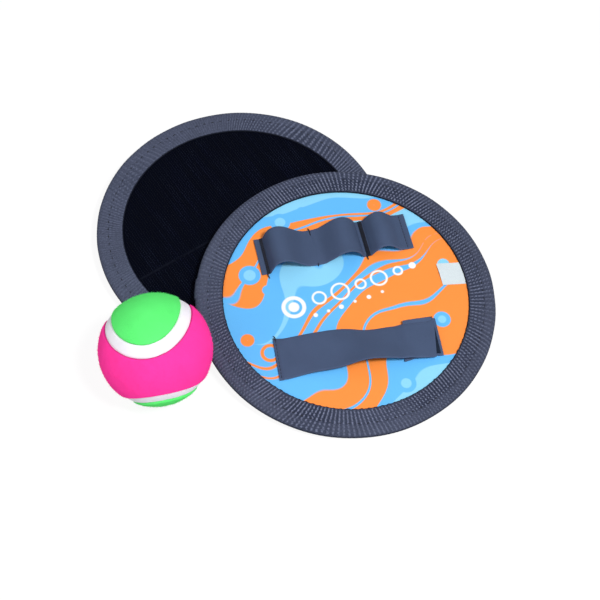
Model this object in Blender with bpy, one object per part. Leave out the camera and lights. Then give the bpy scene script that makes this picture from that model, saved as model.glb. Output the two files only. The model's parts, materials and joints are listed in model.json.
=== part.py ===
"""Hook and loop catch set: two round catch paddles and one soft ball, as they lie on a floor.

The rear paddle lies with its hook face up, held off the floor on one side by its own straps.
The front paddle leans on the rear one's rim, with its printed back and its straps up.
The ball stands in the corner between the two rims.

Each paddle is modelled flat in its own frame first: x runs along the straps from the sewn end
of the long wrist strap, y from the wrist strap to the finger strap, and z out of the printed back.
"""

import math

import bmesh
import bpy
from mathutils import Euler, Matrix, Vector

# Paddle: a stiff board between a hook face and a printed back, edged with a folded tape
PADDLE_DIAMETER = 0.180
BOARD_THICKNESS = 0.0021
PRINT_THICKNESS = 0.0004
HOOK_TAPE_THICKNESS = 0.0005
HOOK_FIELD_HEIGHT = 0.0011
BINDING_THICKNESS = 0.0009
BINDING_WIDTH = 0.0165
LAYER_GAP = 0.0003
ROUND_STEPS = 72

# Hook tape: two widths laid side by side, which meet along a line across the paddle
TAPE_JOIN_ANGLE = math.radians(-35.0)
TAPE_JOIN_OFFSET = 0.001

# Binding lap: where the tape's cut end is sewn over its own start
LAP_LENGTH = 0.013
LAP_RISE = 0.0006
LAP_ANGLE = math.radians(167.0)

# Straps: flat elastic, sewn to the back in rows of stitches
STRAP_WIDTH = 0.025
STRAP_THICKNESS = 0.0012
STRAP_POINT_SPACING = 0.002
FINGER_STRAP_OFFSET = 0.0362
FINGER_STRAP_SKEW = math.radians(2.0)
WRIST_STRAP_OFFSET = 0.0355
WRIST_STRAP_SKEW = math.radians(-1.7)

# Finger strap: end tab, loop, seam, loop, seam, loop, end tab, from left to right
END_TAB = 0.0054
FIRST_LOOP_SPAN = 0.0276
FIRST_LOOP_HEIGHT = 0.0120
FIRST_SEAM = 0.0036
SECOND_LOOP_SPAN = 0.0262
SECOND_LOOP_HEIGHT = 0.0098
SECOND_SEAM = 0.0054
THIRD_LOOP_SPAN = 0.0212
THIRD_LOOP_HEIGHT = 0.0090

# Wrist strap: a long piece sewn at the left, and a short one that folds back over its end
WRIST_STRAP_LENGTH = 0.0980
WRIST_SEWN_END = 0.0050
WRIST_OVERLAP = 0.0170
LONG_END_TO_CREASE = 0.0032
HOOK_PATCH_THICKNESS = 0.0008
HOOK_PATCH_LENGTH = 0.0120
WRIST_SLACK_REAR_EDGE = 0.0018
WRIST_SLACK_FRONT_EDGE = 0.0029
WRIST_TWIST_HEIGHT = 0.0092
WRIST_TWIST_SHIFT = 0.0020
OVERLAP_REAR_LIFT = 0.0013
OVERLAP_FRONT_LIFT = 0.0003
CREASE_SKEW = 0.0035

# Side label: a folded white tab that shows beside the binding
LABEL_HEIGHT = 0.0150
LABEL_LENGTH = 0.0125
LABEL_THICKNESS = 0.0003
LABEL_ANGLE = math.radians(2.8)

# Ball: a rubber core under two felt panels, with a wide white seam between them
BALL_DIAMETER = 0.0640
FELT_THICKNESS = 0.0016
SEAM_DEPTH = 0.0003
SEAM_WIDTH = 0.0075
SEAM_GAP = 0.0003
CORE_GAP = 0.0005
SEAM_SWING = 0.742
SEAM_STEPS = 72
PANEL_STEPS_ACROSS = 8
BALL_TURN = (46.8, -42.1, 37.9)

# Layout: how the three things lie
REAR_TILT = math.radians(3.06)
REAR_LOW_SIDE = math.radians(-43.7)
FRONT_LOW_SIDE = math.radians(-53.0)
FRONT_TURN = math.radians(11.3)
FRONT_OFFSET_X = 0.06365
FRONT_OFFSET_Y = -0.05314
PADDLE_REST_GAP = 0.0004
BALL_GAP_REAR = 0.0004
BALL_GAP_FRONT = 0.0028
FLOOR_GAP = 0.0001

# Sizes that follow from the ones above
PADDLE_THICKNESS = (
    BOARD_THICKNESS + PRINT_THICKNESS + HOOK_TAPE_THICKNESS + 2 * BINDING_THICKNESS + 4 * LAYER_GAP
)
HALF_THICKNESS = PADDLE_THICKNESS / 2
RIM_CENTRE_RADIUS = PADDLE_DIAMETER / 2 - HALF_THICKNESS
WINDOW_RADIUS = PADDLE_DIAMETER / 2 - BINDING_WIDTH
BACK_Z = HALF_THICKNESS - BINDING_THICKNESS - LAYER_GAP
BOARD_TOP_Z = BACK_Z - PRINT_THICKNESS - LAYER_GAP
HOOK_BASE_Z = -BACK_Z
HOOK_FIELD_Z = HOOK_BASE_Z - HOOK_FIELD_HEIGHT
SKIN_RADIUS = RIM_CENTRE_RADIUS - LAYER_GAP
FLAT_HEIGHT = LAYER_GAP + STRAP_THICKNESS / 2
PATCH_LEVEL = (STRAP_THICKNESS + HOOK_PATCH_THICKNESS) / 2 + LAYER_GAP
TOP_LAYER_LEVEL = STRAP_THICKNESS + HOOK_PATCH_THICKNESS + 2 * LAYER_GAP
WRIST_END = WRIST_STRAP_LENGTH / 2
WRIST_ANCHOR = WRIST_END - WRIST_SEWN_END
LONG_STRAP_END = WRIST_ANCHOR - LONG_END_TO_CREASE
SHORT_STRAP_END = LONG_STRAP_END - WRIST_OVERLAP


def material(name, colour, roughness, metallic=0.0):
    """A plain Principled material in the piece's own colour."""
    new = bpy.data.materials.new(name)
    new.use_nodes = True
    shader = new.node_tree.nodes["Principled BSDF"]
    shader.inputs["Base Color"].default_value = (*colour, 1.0)
    shader.inputs["Roughness"].default_value = roughness
    shader.inputs["Metallic"].default_value = metallic
    new.diffuse_color = (*colour, 1.0)
    return new


def add_piece(name, bm, finish, parent, crease_degrees=35.0):
    """Turn a bmesh into a named object under the given empty."""
    bmesh.ops.remove_doubles(bm, verts=bm.verts, dist=1e-6)
    bmesh.ops.recalc_face_normals(bm, faces=bm.faces)
    mesh = bpy.data.meshes.new(name)
    bm.to_mesh(mesh)
    bm.free()
    mesh.shade_smooth()
    mesh.set_sharp_from_angle(angle=math.radians(crease_degrees))
    piece = bpy.data.objects.new(name, mesh)
    piece.data.materials.append(finish)
    piece.parent = parent
    bpy.context.scene.collection.objects.link(piece)
    return piece


def add_empty(name, matrix):
    """An empty that places everything under it."""
    empty = bpy.data.objects.new(name, None)
    empty.matrix_world = matrix
    bpy.context.scene.collection.objects.link(empty)
    return empty


def smooth_step(value):
    """0 below 0, 1 above 1, and an even S between them."""
    value = min(max(value, 0.0), 1.0)
    return value * value * (3.0 - 2.0 * value)


def hump(position, centre, spread):
    """A smooth hump of height 1."""
    return math.exp(-(((position - centre) / spread) ** 2))


def new_disc(radius, low, high):
    """A flat round plate between two levels, with its top face returned for further shaping."""
    bm = bmesh.new()
    bmesh.ops.create_circle(
        bm, cap_ends=True, segments=ROUND_STEPS, radius=radius, matrix=Matrix.Translation((0, 0, low))
    )
    top = bmesh.ops.extrude_face_region(bm, geom=bm.faces[:])["geom"]
    bmesh.ops.translate(
        bm, verts=[item for item in top if isinstance(item, bmesh.types.BMVert)], vec=(0, 0, high - low)
    )
    return bm, [item for item in top if isinstance(item, bmesh.types.BMFace)]


def build_board(prefix, parent, finish):
    """The stiff board, as wide as the round fold of the binding lets it be."""
    fold_room = HALF_THICKNESS - BINDING_THICKNESS - LAYER_GAP
    corner = max(abs(BOARD_TOP_Z), abs(BOARD_TOP_Z - BOARD_THICKNESS))
    radius = RIM_CENTRE_RADIUS + math.sqrt(max(fold_room**2 - corner**2, 0.0))
    bm, _ = new_disc(radius, BOARD_TOP_Z - BOARD_THICKNESS, BOARD_TOP_Z)
    add_piece(prefix + "_core_board", bm, finish, parent)


def build_printed_back(prefix, parent, finish):
    """The printed sheet, which runs out under the binding."""
    bm, _ = new_disc(SKIN_RADIUS, BACK_Z - PRINT_THICKNESS, BACK_Z)
    add_piece(prefix + "_printed_back", bm, finish, parent)


def build_hook_tapes(prefix, parent, finish):
    """Two strips of hook tape: a thin ground under the binding, and the field of hooks inside it."""
    across = Vector((-math.sin(TAPE_JOIN_ANGLE), math.cos(TAPE_JOIN_ANGLE), 0))
    field_radius = WINDOW_RADIUS - LAYER_GAP
    for label, side in (("upper", 1), ("lower", -1)):
        bm, face = new_disc(SKIN_RADIUS, HOOK_BASE_Z + HOOK_TAPE_THICKNESS, HOOK_BASE_Z)
        bmesh.ops.inset_individual(bm, faces=face, thickness=SKIN_RADIUS - field_radius)
        field = bmesh.ops.extrude_face_region(bm, geom=face)["geom"]
        points = [item for item in field if isinstance(item, bmesh.types.BMVert)]
        bmesh.ops.translate(bm, verts=points, vec=(0, 0, HOOK_FIELD_Z - HOOK_BASE_Z))
        bmesh.ops.delete(bm, geom=face, context="FACES_ONLY")
        bmesh.ops.bisect_plane(
            bm,
            geom=bm.verts[:] + bm.edges[:] + bm.faces[:],
            plane_co=across * (TAPE_JOIN_OFFSET + side * LAYER_GAP / 2),
            plane_no=across * side,
            clear_inner=True,
        )
        bmesh.ops.holes_fill(bm, edges=[edge for edge in bm.edges if edge.is_boundary], sides=0)
        add_piece(f"{prefix}_hook_tape_{label}", bm, finish, parent)


def binding_section():
    """The folded tape's outline at the +x side, as (radius, height) points in order."""
    inner_fold = HALF_THICKNESS - BINDING_THICKNESS
    outer_steps, inner_steps, soft_edge = 6, 4, BINDING_THICKNESS / 3
    outline = [(WINDOW_RADIUS, HALF_THICKNESS - soft_edge), (WINDOW_RADIUS + 2 * soft_edge, HALF_THICKNESS)]
    for step in range(outer_steps + 1):
        turn = math.pi / 2 - math.pi * step / outer_steps
        outline.append(
            (RIM_CENTRE_RADIUS + HALF_THICKNESS * math.cos(turn), HALF_THICKNESS * math.sin(turn))
        )
    outline.append((WINDOW_RADIUS + 2 * soft_edge, -HALF_THICKNESS))
    outline.append((WINDOW_RADIUS, soft_edge - HALF_THICKNESS))
    outline.append((WINDOW_RADIUS, -inner_fold))
    for step in range(inner_steps + 1):
        turn = math.pi * step / inner_steps - math.pi / 2
        outline.append((RIM_CENTRE_RADIUS + inner_fold * math.cos(turn), inner_fold * math.sin(turn)))
    outline.append((WINDOW_RADIUS, inner_fold))
    return outline


def build_binding(prefix, parent, finish):
    """The edge tape, spun from its folded section, with its lap joint as a low raised patch."""
    bm = bmesh.new()
    points = [bm.verts.new((radius, 0, height)) for radius, height in binding_section()]
    edges = [bm.edges.new((points[i - 1], points[i])) for i in range(len(points))]
    bmesh.ops.spin(
        bm, geom=edges, cent=(0, 0, 0), axis=(0, 0, 1), angle=2 * math.pi, steps=ROUND_STEPS, use_merge=True
    )
    half_lap = LAP_LENGTH / PADDLE_DIAMETER
    slope = half_lap / 12
    for turn in (-half_lap - slope, slope - half_lap, half_lap - slope, half_lap + slope):
        normal = Vector((-math.sin(LAP_ANGLE + turn), math.cos(LAP_ANGLE + turn), 0))
        everything = bm.verts[:] + bm.edges[:] + bm.faces[:]
        bmesh.ops.bisect_plane(bm, geom=everything, plane_co=(0, 0, 0), plane_no=normal)
    skin = HALF_THICKNESS - BINDING_THICKNESS / 2
    for vert in bm.verts:
        radius = math.hypot(vert.co.x, vert.co.y)
        rim_distance = math.hypot(max(radius - RIM_CENTRE_RADIUS, 0.0), vert.co.z)
        turn = math.remainder(math.atan2(vert.co.y, vert.co.x) - LAP_ANGLE, 2 * math.pi)
        if abs(turn) < half_lap and rim_distance > skin:
            outward = Vector((vert.co.x, vert.co.y, 0)).normalized()
            outward *= max(radius - RIM_CENTRE_RADIUS, 0.0)
            outward.z = vert.co.z
            vert.co += outward.normalized() * LAP_RISE
    add_piece(prefix + "_edge_binding", bm, finish, parent)


def resample(points, spacing):
    """Points at an even spacing along a path, with both ends kept."""
    reach = [0.0]
    for before, after in zip(points, points[1:]):
        reach.append(reach[-1] + math.dist(before, after))
    count = max(round(reach[-1] / spacing), 2)
    result = []
    index = 0
    for step in range(count + 1):
        target = reach[-1] * step / count
        while index < len(points) - 2 and reach[index + 1] < target:
            index += 1
        share = (target - reach[index]) / (reach[index + 1] - reach[index])
        result.append(
            tuple(a + (b - a) * share for a, b in zip(points[index], points[index + 1]))
        )
    return result


def offset_sides(path, thickness):
    """The two long sides of a flat band whose middle line is the given path of (x, height)."""
    above, below = [], []
    for i, (x, height) in enumerate(path):
        before = path[max(i - 1, 0)]
        after = path[min(i + 1, len(path) - 1)]
        into = Vector((x - before[0], height - before[1]))
        out = Vector((after[0] - x, after[1] - height))
        into = (into if into.length else out).normalized()
        out = (out if out.length else into).normalized()
        bisector = (into + out).normalized()
        normal = Vector((-bisector.y, bisector.x))
        stretch = thickness / 2 / max(bisector.dot(into), 0.6)
        above.append((x + normal.x * stretch, height + normal.y * stretch))
        below.append((x - normal.x * stretch, height - normal.y * stretch))
    return above, below


def build_strap(name, parent, finish, paths, thickness, place):
    """A flat band lofted through paths, one for each station across its width.

    paths holds (across, shift, path), and place turns (x, y, height) into the paddle's frame.
    """
    bm = bmesh.new()
    rows = []
    for across, shift, path in paths:
        above, below = offset_sides(path, thickness)
        row = []
        for side in (above, below):
            row.append([bm.verts.new(place(x, across + shift(x), height)) for x, height in side])
        rows.append(row)
    for near, far in zip(rows, rows[1:]):
        for side in (0, 1):
            for i in range(len(near[side]) - 1):
                bm.faces.new((near[side][i], near[side][i + 1], far[side][i + 1], far[side][i]))
        for end in (0, -1):
            bm.faces.new((near[0][end], near[1][end], far[1][end], far[0][end]))
    for row in (rows[0], rows[-1]):
        for i in range(len(row[0]) - 1):
            bm.faces.new((row[0][i], row[0][i + 1], row[1][i + 1], row[1][i]))
    add_piece(name, bm, finish, parent)


def strap_place(offset, skew):
    """A placement on the paddle's back for a strap whose middle lies at the given offset."""
    turn = Matrix.Rotation(skew, 4, "Z")

    def place(x, y, height):
        return Matrix.Translation((0, offset, BACK_Z)) @ turn @ Vector((x, y, height))

    return place


def soft_minimum(value, limit, blend):
    """The smaller of two heights, with a rounded change from one to the other."""
    share = min(max(0.5 + 0.5 * (limit - value) / blend, 0.0), 1.0)
    return limit + (value - limit) * share - blend * share * (1.0 - share)


def loop_path(start, span, height, peak, steep_left):
    """One sewn loop: steep on one side, easing down on the other, as (x, height) points."""
    power = math.log(0.5) / math.log(peak)
    samples = 60
    points = []
    for step in range(1, samples):
        share = (step / samples) ** 1.5
        rise = math.sin(math.pi * share**power) ** (1.0 + share)
        x = start + span * (share if steep_left else 1.0 - share)
        points.append((x, FLAT_HEIGHT + (height - FLAT_HEIGHT) * rise))
    return points if steep_left else points[::-1]


def finger_strap_path():
    """The finger strap's middle line in its free shape, centred on x = 0."""
    length = (
        2 * END_TAB + FIRST_SEAM + SECOND_SEAM + FIRST_LOOP_SPAN + SECOND_LOOP_SPAN + THIRD_LOOP_SPAN
    )
    x = -length / 2
    path = [(x, FLAT_HEIGHT)]
    for lead, span, height, peak, steep_left in (
        (END_TAB, FIRST_LOOP_SPAN, FIRST_LOOP_HEIGHT, 0.29, True),
        (FIRST_SEAM, SECOND_LOOP_SPAN, SECOND_LOOP_HEIGHT, 0.36, False),
        (SECOND_SEAM, THIRD_LOOP_SPAN, THIRD_LOOP_HEIGHT, 0.40, True),
    ):
        x += lead
        path.append((x, FLAT_HEIGHT))
        path += loop_path(x, span, height, peak, steep_left)
        x += span
        path.append((x, FLAT_HEIGHT))
    path.append((x + END_TAB, FLAT_HEIGHT))
    return path


def build_finger_strap(prefix, parent, finish, room):
    """The finger strap with its three sewn loops, pressed down where the paddle lies on it."""
    place = strap_place(FINGER_STRAP_OFFSET, FINGER_STRAP_SKEW)
    free = resample(finger_strap_path(), STRAP_POINT_SPACING / 4)
    paths = []
    stations = 2
    for station in range(stations + 1):
        across = STRAP_WIDTH * (station / stations - 0.5)
        pressed = []
        for x, height in free:
            spot = place(x, across, 0)
            limit = room(spot.x, spot.y) - STRAP_THICKNESS / 2 - FLOOR_GAP
            pressed.append((x, max(soft_minimum(height, limit, STRAP_THICKNESS), FLAT_HEIGHT)))
        paths.append((across, pressed))
    count = round(len(free) / 4)
    rows = [
        (across, lambda x: 0.0, pick_evenly(path, count)) for across, path in paths
    ]
    build_strap(prefix + "_finger_strap", parent, finish, rows, STRAP_THICKNESS, place)


def pick_evenly(path, count):
    """The path with the given number of steps, so that every station has as many points."""
    length = sum(math.dist(a, b) for a, b in zip(path, path[1:]))
    return resample(path, length / count)


def wrist_edges(slack, x):
    """Heights of the wrist strap's rear and front edges over the back, at a place along it."""
    span = WRIST_STRAP_LENGTH
    overlap = smooth_step((x - 0.22 * span) / (0.22 * span))
    rear = WRIST_SLACK_REAR_EDGE * hump(x, -0.18 * span, 0.11 * span) + OVERLAP_REAR_LIFT * overlap
    front = WRIST_SLACK_FRONT_EDGE * hump(x, -0.24 * span, 0.11 * span) + OVERLAP_FRONT_LIFT * overlap
    front += WRIST_TWIST_HEIGHT * hump(x, 0.09 * span, 0.15 * span)
    return FLAT_HEIGHT + slack * rear, FLAT_HEIGHT + slack * front


def wrist_height(slack, room_here, level, x, across):
    """Height of a layer of the wrist strap, no higher than the room under the paddle allows."""
    rear, front = wrist_edges(slack, x)
    share = across / STRAP_WIDTH + 0.5
    height = front + (rear - front) * share
    limit = room_here - STRAP_THICKNESS / 2 - TOP_LAYER_LEVEL - FLOOR_GAP
    return max(soft_minimum(height, limit, STRAP_THICKNESS / 2), FLAT_HEIGHT) + level


def crease_drag(x, across):
    """How far the overlap is pulled back towards the left at its front edge."""
    share = 0.5 - across / STRAP_WIDTH
    return -CREASE_SKEW * share * smooth_step((x - SHORT_STRAP_END) / (WRIST_ANCHOR - SHORT_STRAP_END))


def build_wrist_strap(prefix, parent, strap_finish, patch_finish, room, slack):
    """The long wrist strap, its hook patch, and the short strap that folds back over both."""
    place = strap_place(-WRIST_STRAP_OFFSET, WRIST_STRAP_SKEW)
    stations = 4
    middle = FLAT_HEIGHT + TOP_LAYER_LEVEL
    long_rows, patch_rows, short_rows = [], [], []
    for station in range(stations + 1):
        across = STRAP_WIDTH * (station / stations - 0.5)

        def layer(x, level, across=across):
            spot = place(x, across, 0)
            height = wrist_height(slack, room(spot.x, spot.y), level, x, across)
            return x + crease_drag(x, across), height

        def shift(x):
            return -slack * WRIST_TWIST_SHIFT * hump(x, 0.12 * WRIST_STRAP_LENGTH, 0.15 * WRIST_STRAP_LENGTH)

        long_steps = round((LONG_STRAP_END + WRIST_END) / STRAP_POINT_SPACING)
        long_path = [
            layer(-WRIST_END + (LONG_STRAP_END + WRIST_END) * step / long_steps, 0.0)
            for step in range(long_steps + 1)
        ]
        long_rows.append((across, shift, long_path))
        patch_steps = 6
        patch_start = LONG_STRAP_END - HOOK_PATCH_LENGTH
        patch_path = [
            layer(patch_start + HOOK_PATCH_LENGTH * step / patch_steps, PATCH_LEVEL)
            for step in range(patch_steps + 1)
        ]
        inset_across = across * (1 - 2 * STRAP_THICKNESS / STRAP_WIDTH)
        patch_rows.append((inset_across, shift, patch_path))
        fold_top = layer(LONG_STRAP_END, TOP_LAYER_LEVEL)
        fold_height = fold_top[1] - FLAT_HEIGHT
        wall = WRIST_ANCHOR - LONG_STRAP_END
        short_path = [(WRIST_END, FLAT_HEIGHT), (WRIST_ANCHOR + STRAP_THICKNESS, FLAT_HEIGHT)]
        short_path.append((WRIST_ANCHOR, FLAT_HEIGHT + 0.10 * fold_height))
        drag = fold_top[0] - LONG_STRAP_END
        short_path.append((WRIST_ANCHOR - 0.06 * wall + 0.45 * drag, FLAT_HEIGHT + 0.50 * fold_height))
        short_path.append((WRIST_ANCHOR - 0.30 * wall + 0.85 * drag, FLAT_HEIGHT + 0.90 * fold_height))
        top_steps = 8
        for step in range(top_steps + 1):
            x = LONG_STRAP_END - WRIST_OVERLAP * step / top_steps
            short_path.append(layer(x, TOP_LAYER_LEVEL))
        short_rows.append((across, shift, short_path))
    build_strap(prefix + "_wrist_strap_long", parent, strap_finish, long_rows, STRAP_THICKNESS, place)
    build_strap(
        prefix + "_wrist_hook_patch", parent, patch_finish, patch_rows, HOOK_PATCH_THICKNESS, place
    )
    build_strap(prefix + "_wrist_strap_short", parent, strap_finish, short_rows, STRAP_THICKNESS, place)


def build_label(prefix, parent, finish):
    """The side label: three straight sides, and an arc where it meets the binding."""
    outer = WINDOW_RADIUS - LAYER_GAP
    half_angle = math.asin(LABEL_HEIGHT / 2 / outer)
    level = BACK_Z + LAYER_GAP
    bm = bmesh.new()
    arc_steps = 4
    corners = []
    for step in range(arc_steps + 1):
        turn = half_angle * (2 * step / arc_steps - 1)
        corners.append((outer * math.cos(turn), outer * math.sin(turn)))
    inner = outer - LABEL_LENGTH
    corners += [(inner, LABEL_HEIGHT / 2), (inner, -LABEL_HEIGHT / 2)]
    face = bm.faces.new([bm.verts.new((x, y, level)) for x, y in corners])
    top = bmesh.ops.extrude_face_region(bm, geom=[face])["geom"]
    points = [item for item in top if isinstance(item, bmesh.types.BMVert)]
    bmesh.ops.translate(bm, verts=points, vec=(0, 0, LABEL_THICKNESS))
    bmesh.ops.rotate(bm, verts=bm.verts, cent=(0, 0, 0), matrix=Matrix.Rotation(LABEL_ANGLE, 3, "Z"))
    add_piece(prefix + "_side_label", bm, finish, parent)


def build_paddle(prefix, placement, finishes, slack, on_floor):
    """One whole paddle under an empty that places it. Underneath, the floor presses the straps."""
    parent = add_empty(prefix + "_paddle", placement)
    clear_height = 1.0

    def room(x, y):
        if not on_floor:
            return clear_height
        return (placement @ Vector((x, y, BACK_Z))).z / -placement.col[2].z

    build_board(prefix, parent, finishes["board"])
    build_hook_tapes(prefix, parent, finishes["hook"])
    build_printed_back(prefix, parent, finishes["print"])
    build_binding(prefix, parent, finishes["binding"])
    build_finger_strap(prefix, parent, finishes["strap"], room)
    build_wrist_strap(prefix, parent, finishes["strap"], finishes["patch"], room, slack)
    return parent


def seam_point(turn):
    """A point on the ball's seam line, on the unit sphere, and the direction to the pink side."""
    near, far = SEAM_SWING, 1.0 - SEAM_SWING
    rise = 2.0 * math.sqrt(near * far)
    point = Vector(
        (
            near * math.cos(turn) + far * math.cos(3 * turn),
            near * math.sin(turn) - far * math.sin(3 * turn),
            rise * math.sin(2 * turn),
        )
    ).normalized()
    ahead = Vector(
        (
            -near * math.sin(turn) - 3 * far * math.sin(3 * turn),
            near * math.cos(turn) - 3 * far * math.cos(3 * turn),
            2 * rise * math.cos(2 * turn),
        )
    )
    return point, point.cross(ahead).normalized()


def beside_seam(turn, distance):
    """A unit direction at an angle beside the seam line, towards the pink side if positive."""
    point, aside = seam_point(turn)
    return point * math.cos(distance) + aside * math.sin(distance)


def arc_between(start, end, share):
    """A point on the great circle from one unit direction to another."""
    angle = start.angle(end)
    if angle < 1e-6:
        return start.copy()
    return (start * math.sin((1 - share) * angle) + end * math.sin(share * angle)) / math.sin(angle)


def build_felt_panel(name, parent, finish, side):
    """One dumbbell panel: arcs laid from each seam point to its mirror point, then thickened."""
    outer = BALL_DIAMETER / 2
    inner = outer - FELT_THICKNESS
    edge = side * (SEAM_WIDTH / 2 + SEAM_GAP) / outer
    first = -math.pi / 4 if side > 0 else math.pi / 4
    half = SEAM_STEPS // 2
    bm = bmesh.new()
    rows = []
    for step in range(half + 1):
        turn = first + math.pi * step / half
        start = beside_seam(turn, edge)
        end = beside_seam(2 * first - turn, edge)
        across = 1 if step in (0, half) else PANEL_STEPS_ACROSS
        rows.append(
            [bm.verts.new(outer * arc_between(start, end, i / across)) for i in range(across + 1)]
        )
    for near, far in zip(rows, rows[1:]):
        if len(near) == len(far):
            for i in range(len(near) - 1):
                bm.faces.new((near[i], near[i + 1], far[i + 1], far[i]))
        else:
            tip, row = (near, far) if len(near) < len(far) else (far, near)
            for i in range(len(row) - 1):
                bm.faces.new((tip[0], row[i + 1], row[i]))
    bmesh.ops.remove_doubles(bm, verts=bm.verts, dist=1e-6)
    bmesh.ops.recalc_face_normals(bm, faces=bm.faces)
    wall = bmesh.ops.extrude_face_region(bm, geom=bm.faces[:], use_keep_orig=True)["geom"]
    for item in wall:
        if isinstance(item, bmesh.types.BMVert):
            item.co *= inner / outer
    add_piece(name, bm, finish, parent)


def build_seam(parent, finish):
    """The white seam: a band of even width that follows the seam line right round the ball."""
    outer = BALL_DIAMETER / 2
    top = outer - SEAM_DEPTH
    bottom = outer - FELT_THICKNESS
    edge = SEAM_WIDTH / 2 / outer
    bm = bmesh.new()
    rings = []
    for step in range(SEAM_STEPS):
        turn = math.pi / 4 + 2 * math.pi * step / SEAM_STEPS
        ring = [bm.verts.new(top * beside_seam(turn, share * edge)) for share in (-1, 0, 1)]
        ring += [bm.verts.new(bottom * beside_seam(turn, share * edge)) for share in (1, -1)]
        rings.append(ring)
    for near, far in zip(rings, rings[1:] + rings[:1]):
        for i in range(len(near)):
            bm.faces.new((near[i - 1], near[i], far[i], far[i - 1]))
    add_piece("ball_seam", bm, finish, parent)


def build_ball(centre, finishes):
    """The ball: a rubber core with its two felt panels and the seam."""
    turn = Matrix.LocRotScale(centre, Euler([math.radians(angle) for angle in BALL_TURN]), None)
    parent = add_empty("ball", turn)
    bm = bmesh.new()
    core_radius = BALL_DIAMETER / 2 - FELT_THICKNESS - CORE_GAP
    bmesh.ops.create_icosphere(bm, subdivisions=3, radius=core_radius)
    add_piece("ball_core", bm, finishes["rubber"], parent)
    build_felt_panel("ball_felt_pink", parent, finishes["pink"], 1)
    build_felt_panel("ball_felt_green", parent, finishes["green"], -1)
    build_seam(parent, finishes["seam"])
    return parent


def tilt_matrix(angle, low_side):
    """A turn that leans the vertical towards the low side."""
    return (
        Matrix.Rotation(low_side, 4, "Z")
        @ Matrix.Rotation(angle, 4, "Y")
        @ Matrix.Rotation(-low_side, 4, "Z")
    )


def paddle_matrix(x, y, angle, low_side, turn):
    """A paddle on the floor: its lowest rim point touches the floor on the low side."""
    height = HALF_THICKNESS + RIM_CENTRE_RADIUS * math.sin(angle)
    return Matrix.Translation((x, y, height)) @ tilt_matrix(angle, low_side) @ turn


def rim_gap(one, other):
    """The least distance from one paddle's rim to the other paddle, both as rounded plates."""
    into_other = other.inverted() @ one
    steps = 5 * ROUND_STEPS
    least = math.inf
    for step in range(steps):
        angle = 2 * math.pi * step / steps
        point = into_other @ (RIM_CENTRE_RADIUS * Vector((math.cos(angle), math.sin(angle), 0)))
        beyond = max(math.hypot(point.x, point.y) - RIM_CENTRE_RADIUS, 0.0)
        least = min(least, math.hypot(beyond, point.z))
    return least - PADDLE_THICKNESS


def front_paddle_matrix(rear):
    """The front paddle, leaned until it lies on the rear one's rim."""
    x = rear.translation.x + FRONT_OFFSET_X
    y = rear.translation.y + FRONT_OFFSET_Y
    turn = Matrix.Rotation(FRONT_TURN, 4, "Z")
    flatter, steeper = 0.0, math.radians(15.0)
    for _ in range(40):
        angle = (flatter + steeper) / 2
        front = paddle_matrix(x, y, angle, FRONT_LOW_SIDE, turn)
        if min(rim_gap(rear, front), rim_gap(front, rear)) < PADDLE_REST_GAP:
            flatter = angle
        else:
            steeper = angle
    return paddle_matrix(x, y, steeper, FRONT_LOW_SIDE, turn)


def ball_centre(rear, front):
    """The ball's centre on the floor, at its gap from each of the two rims."""
    radius = BALL_DIAMETER / 2
    spot = Vector((rear.translation.x, front.translation.y, radius)) * 2
    for _ in range(8):
        reach = []
        for paddle, gap in ((rear, BALL_GAP_REAR), (front, BALL_GAP_FRONT)):
            local = paddle.inverted() @ spot
            rim = Vector((local.x, local.y, 0)).normalized() * RIM_CENTRE_RADIUS
            rim = paddle @ rim
            drop = radius - rim.z
            span = math.sqrt((radius + HALF_THICKNESS + gap) ** 2 - drop**2)
            reach.append((rim.xy - paddle.translation.xy).length + span)
        between = front.translation.xy - rear.translation.xy
        along = (reach[0] ** 2 - reach[1] ** 2 + between.length_squared) / (2 * between.length)
        aside = math.sqrt(max(reach[0] ** 2 - along**2, 0.0))
        direction = between.normalized()
        flat = rear.translation.xy + direction * along + Vector((direction.y, -direction.x)) * aside
        spot = Vector((flat.x, flat.y, radius))
    return spot


def centre_on_floor(empties):
    """Move the whole set so that the middle of its footprint is at the origin, on the floor."""
    bpy.context.view_layer.update()
    low = Vector((math.inf,) * 3)
    high = Vector((-math.inf,) * 3)
    for piece in bpy.context.scene.objects:
        if piece.type != "MESH":
            continue
        for vert in piece.data.vertices:
            place = piece.matrix_world @ vert.co
            low = Vector(map(min, low, place))
            high = Vector(map(max, high, place))
    middle = (low + high) / 2
    for empty in empties:
        empty.location -= Vector((middle.x, middle.y, low.z))


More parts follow.
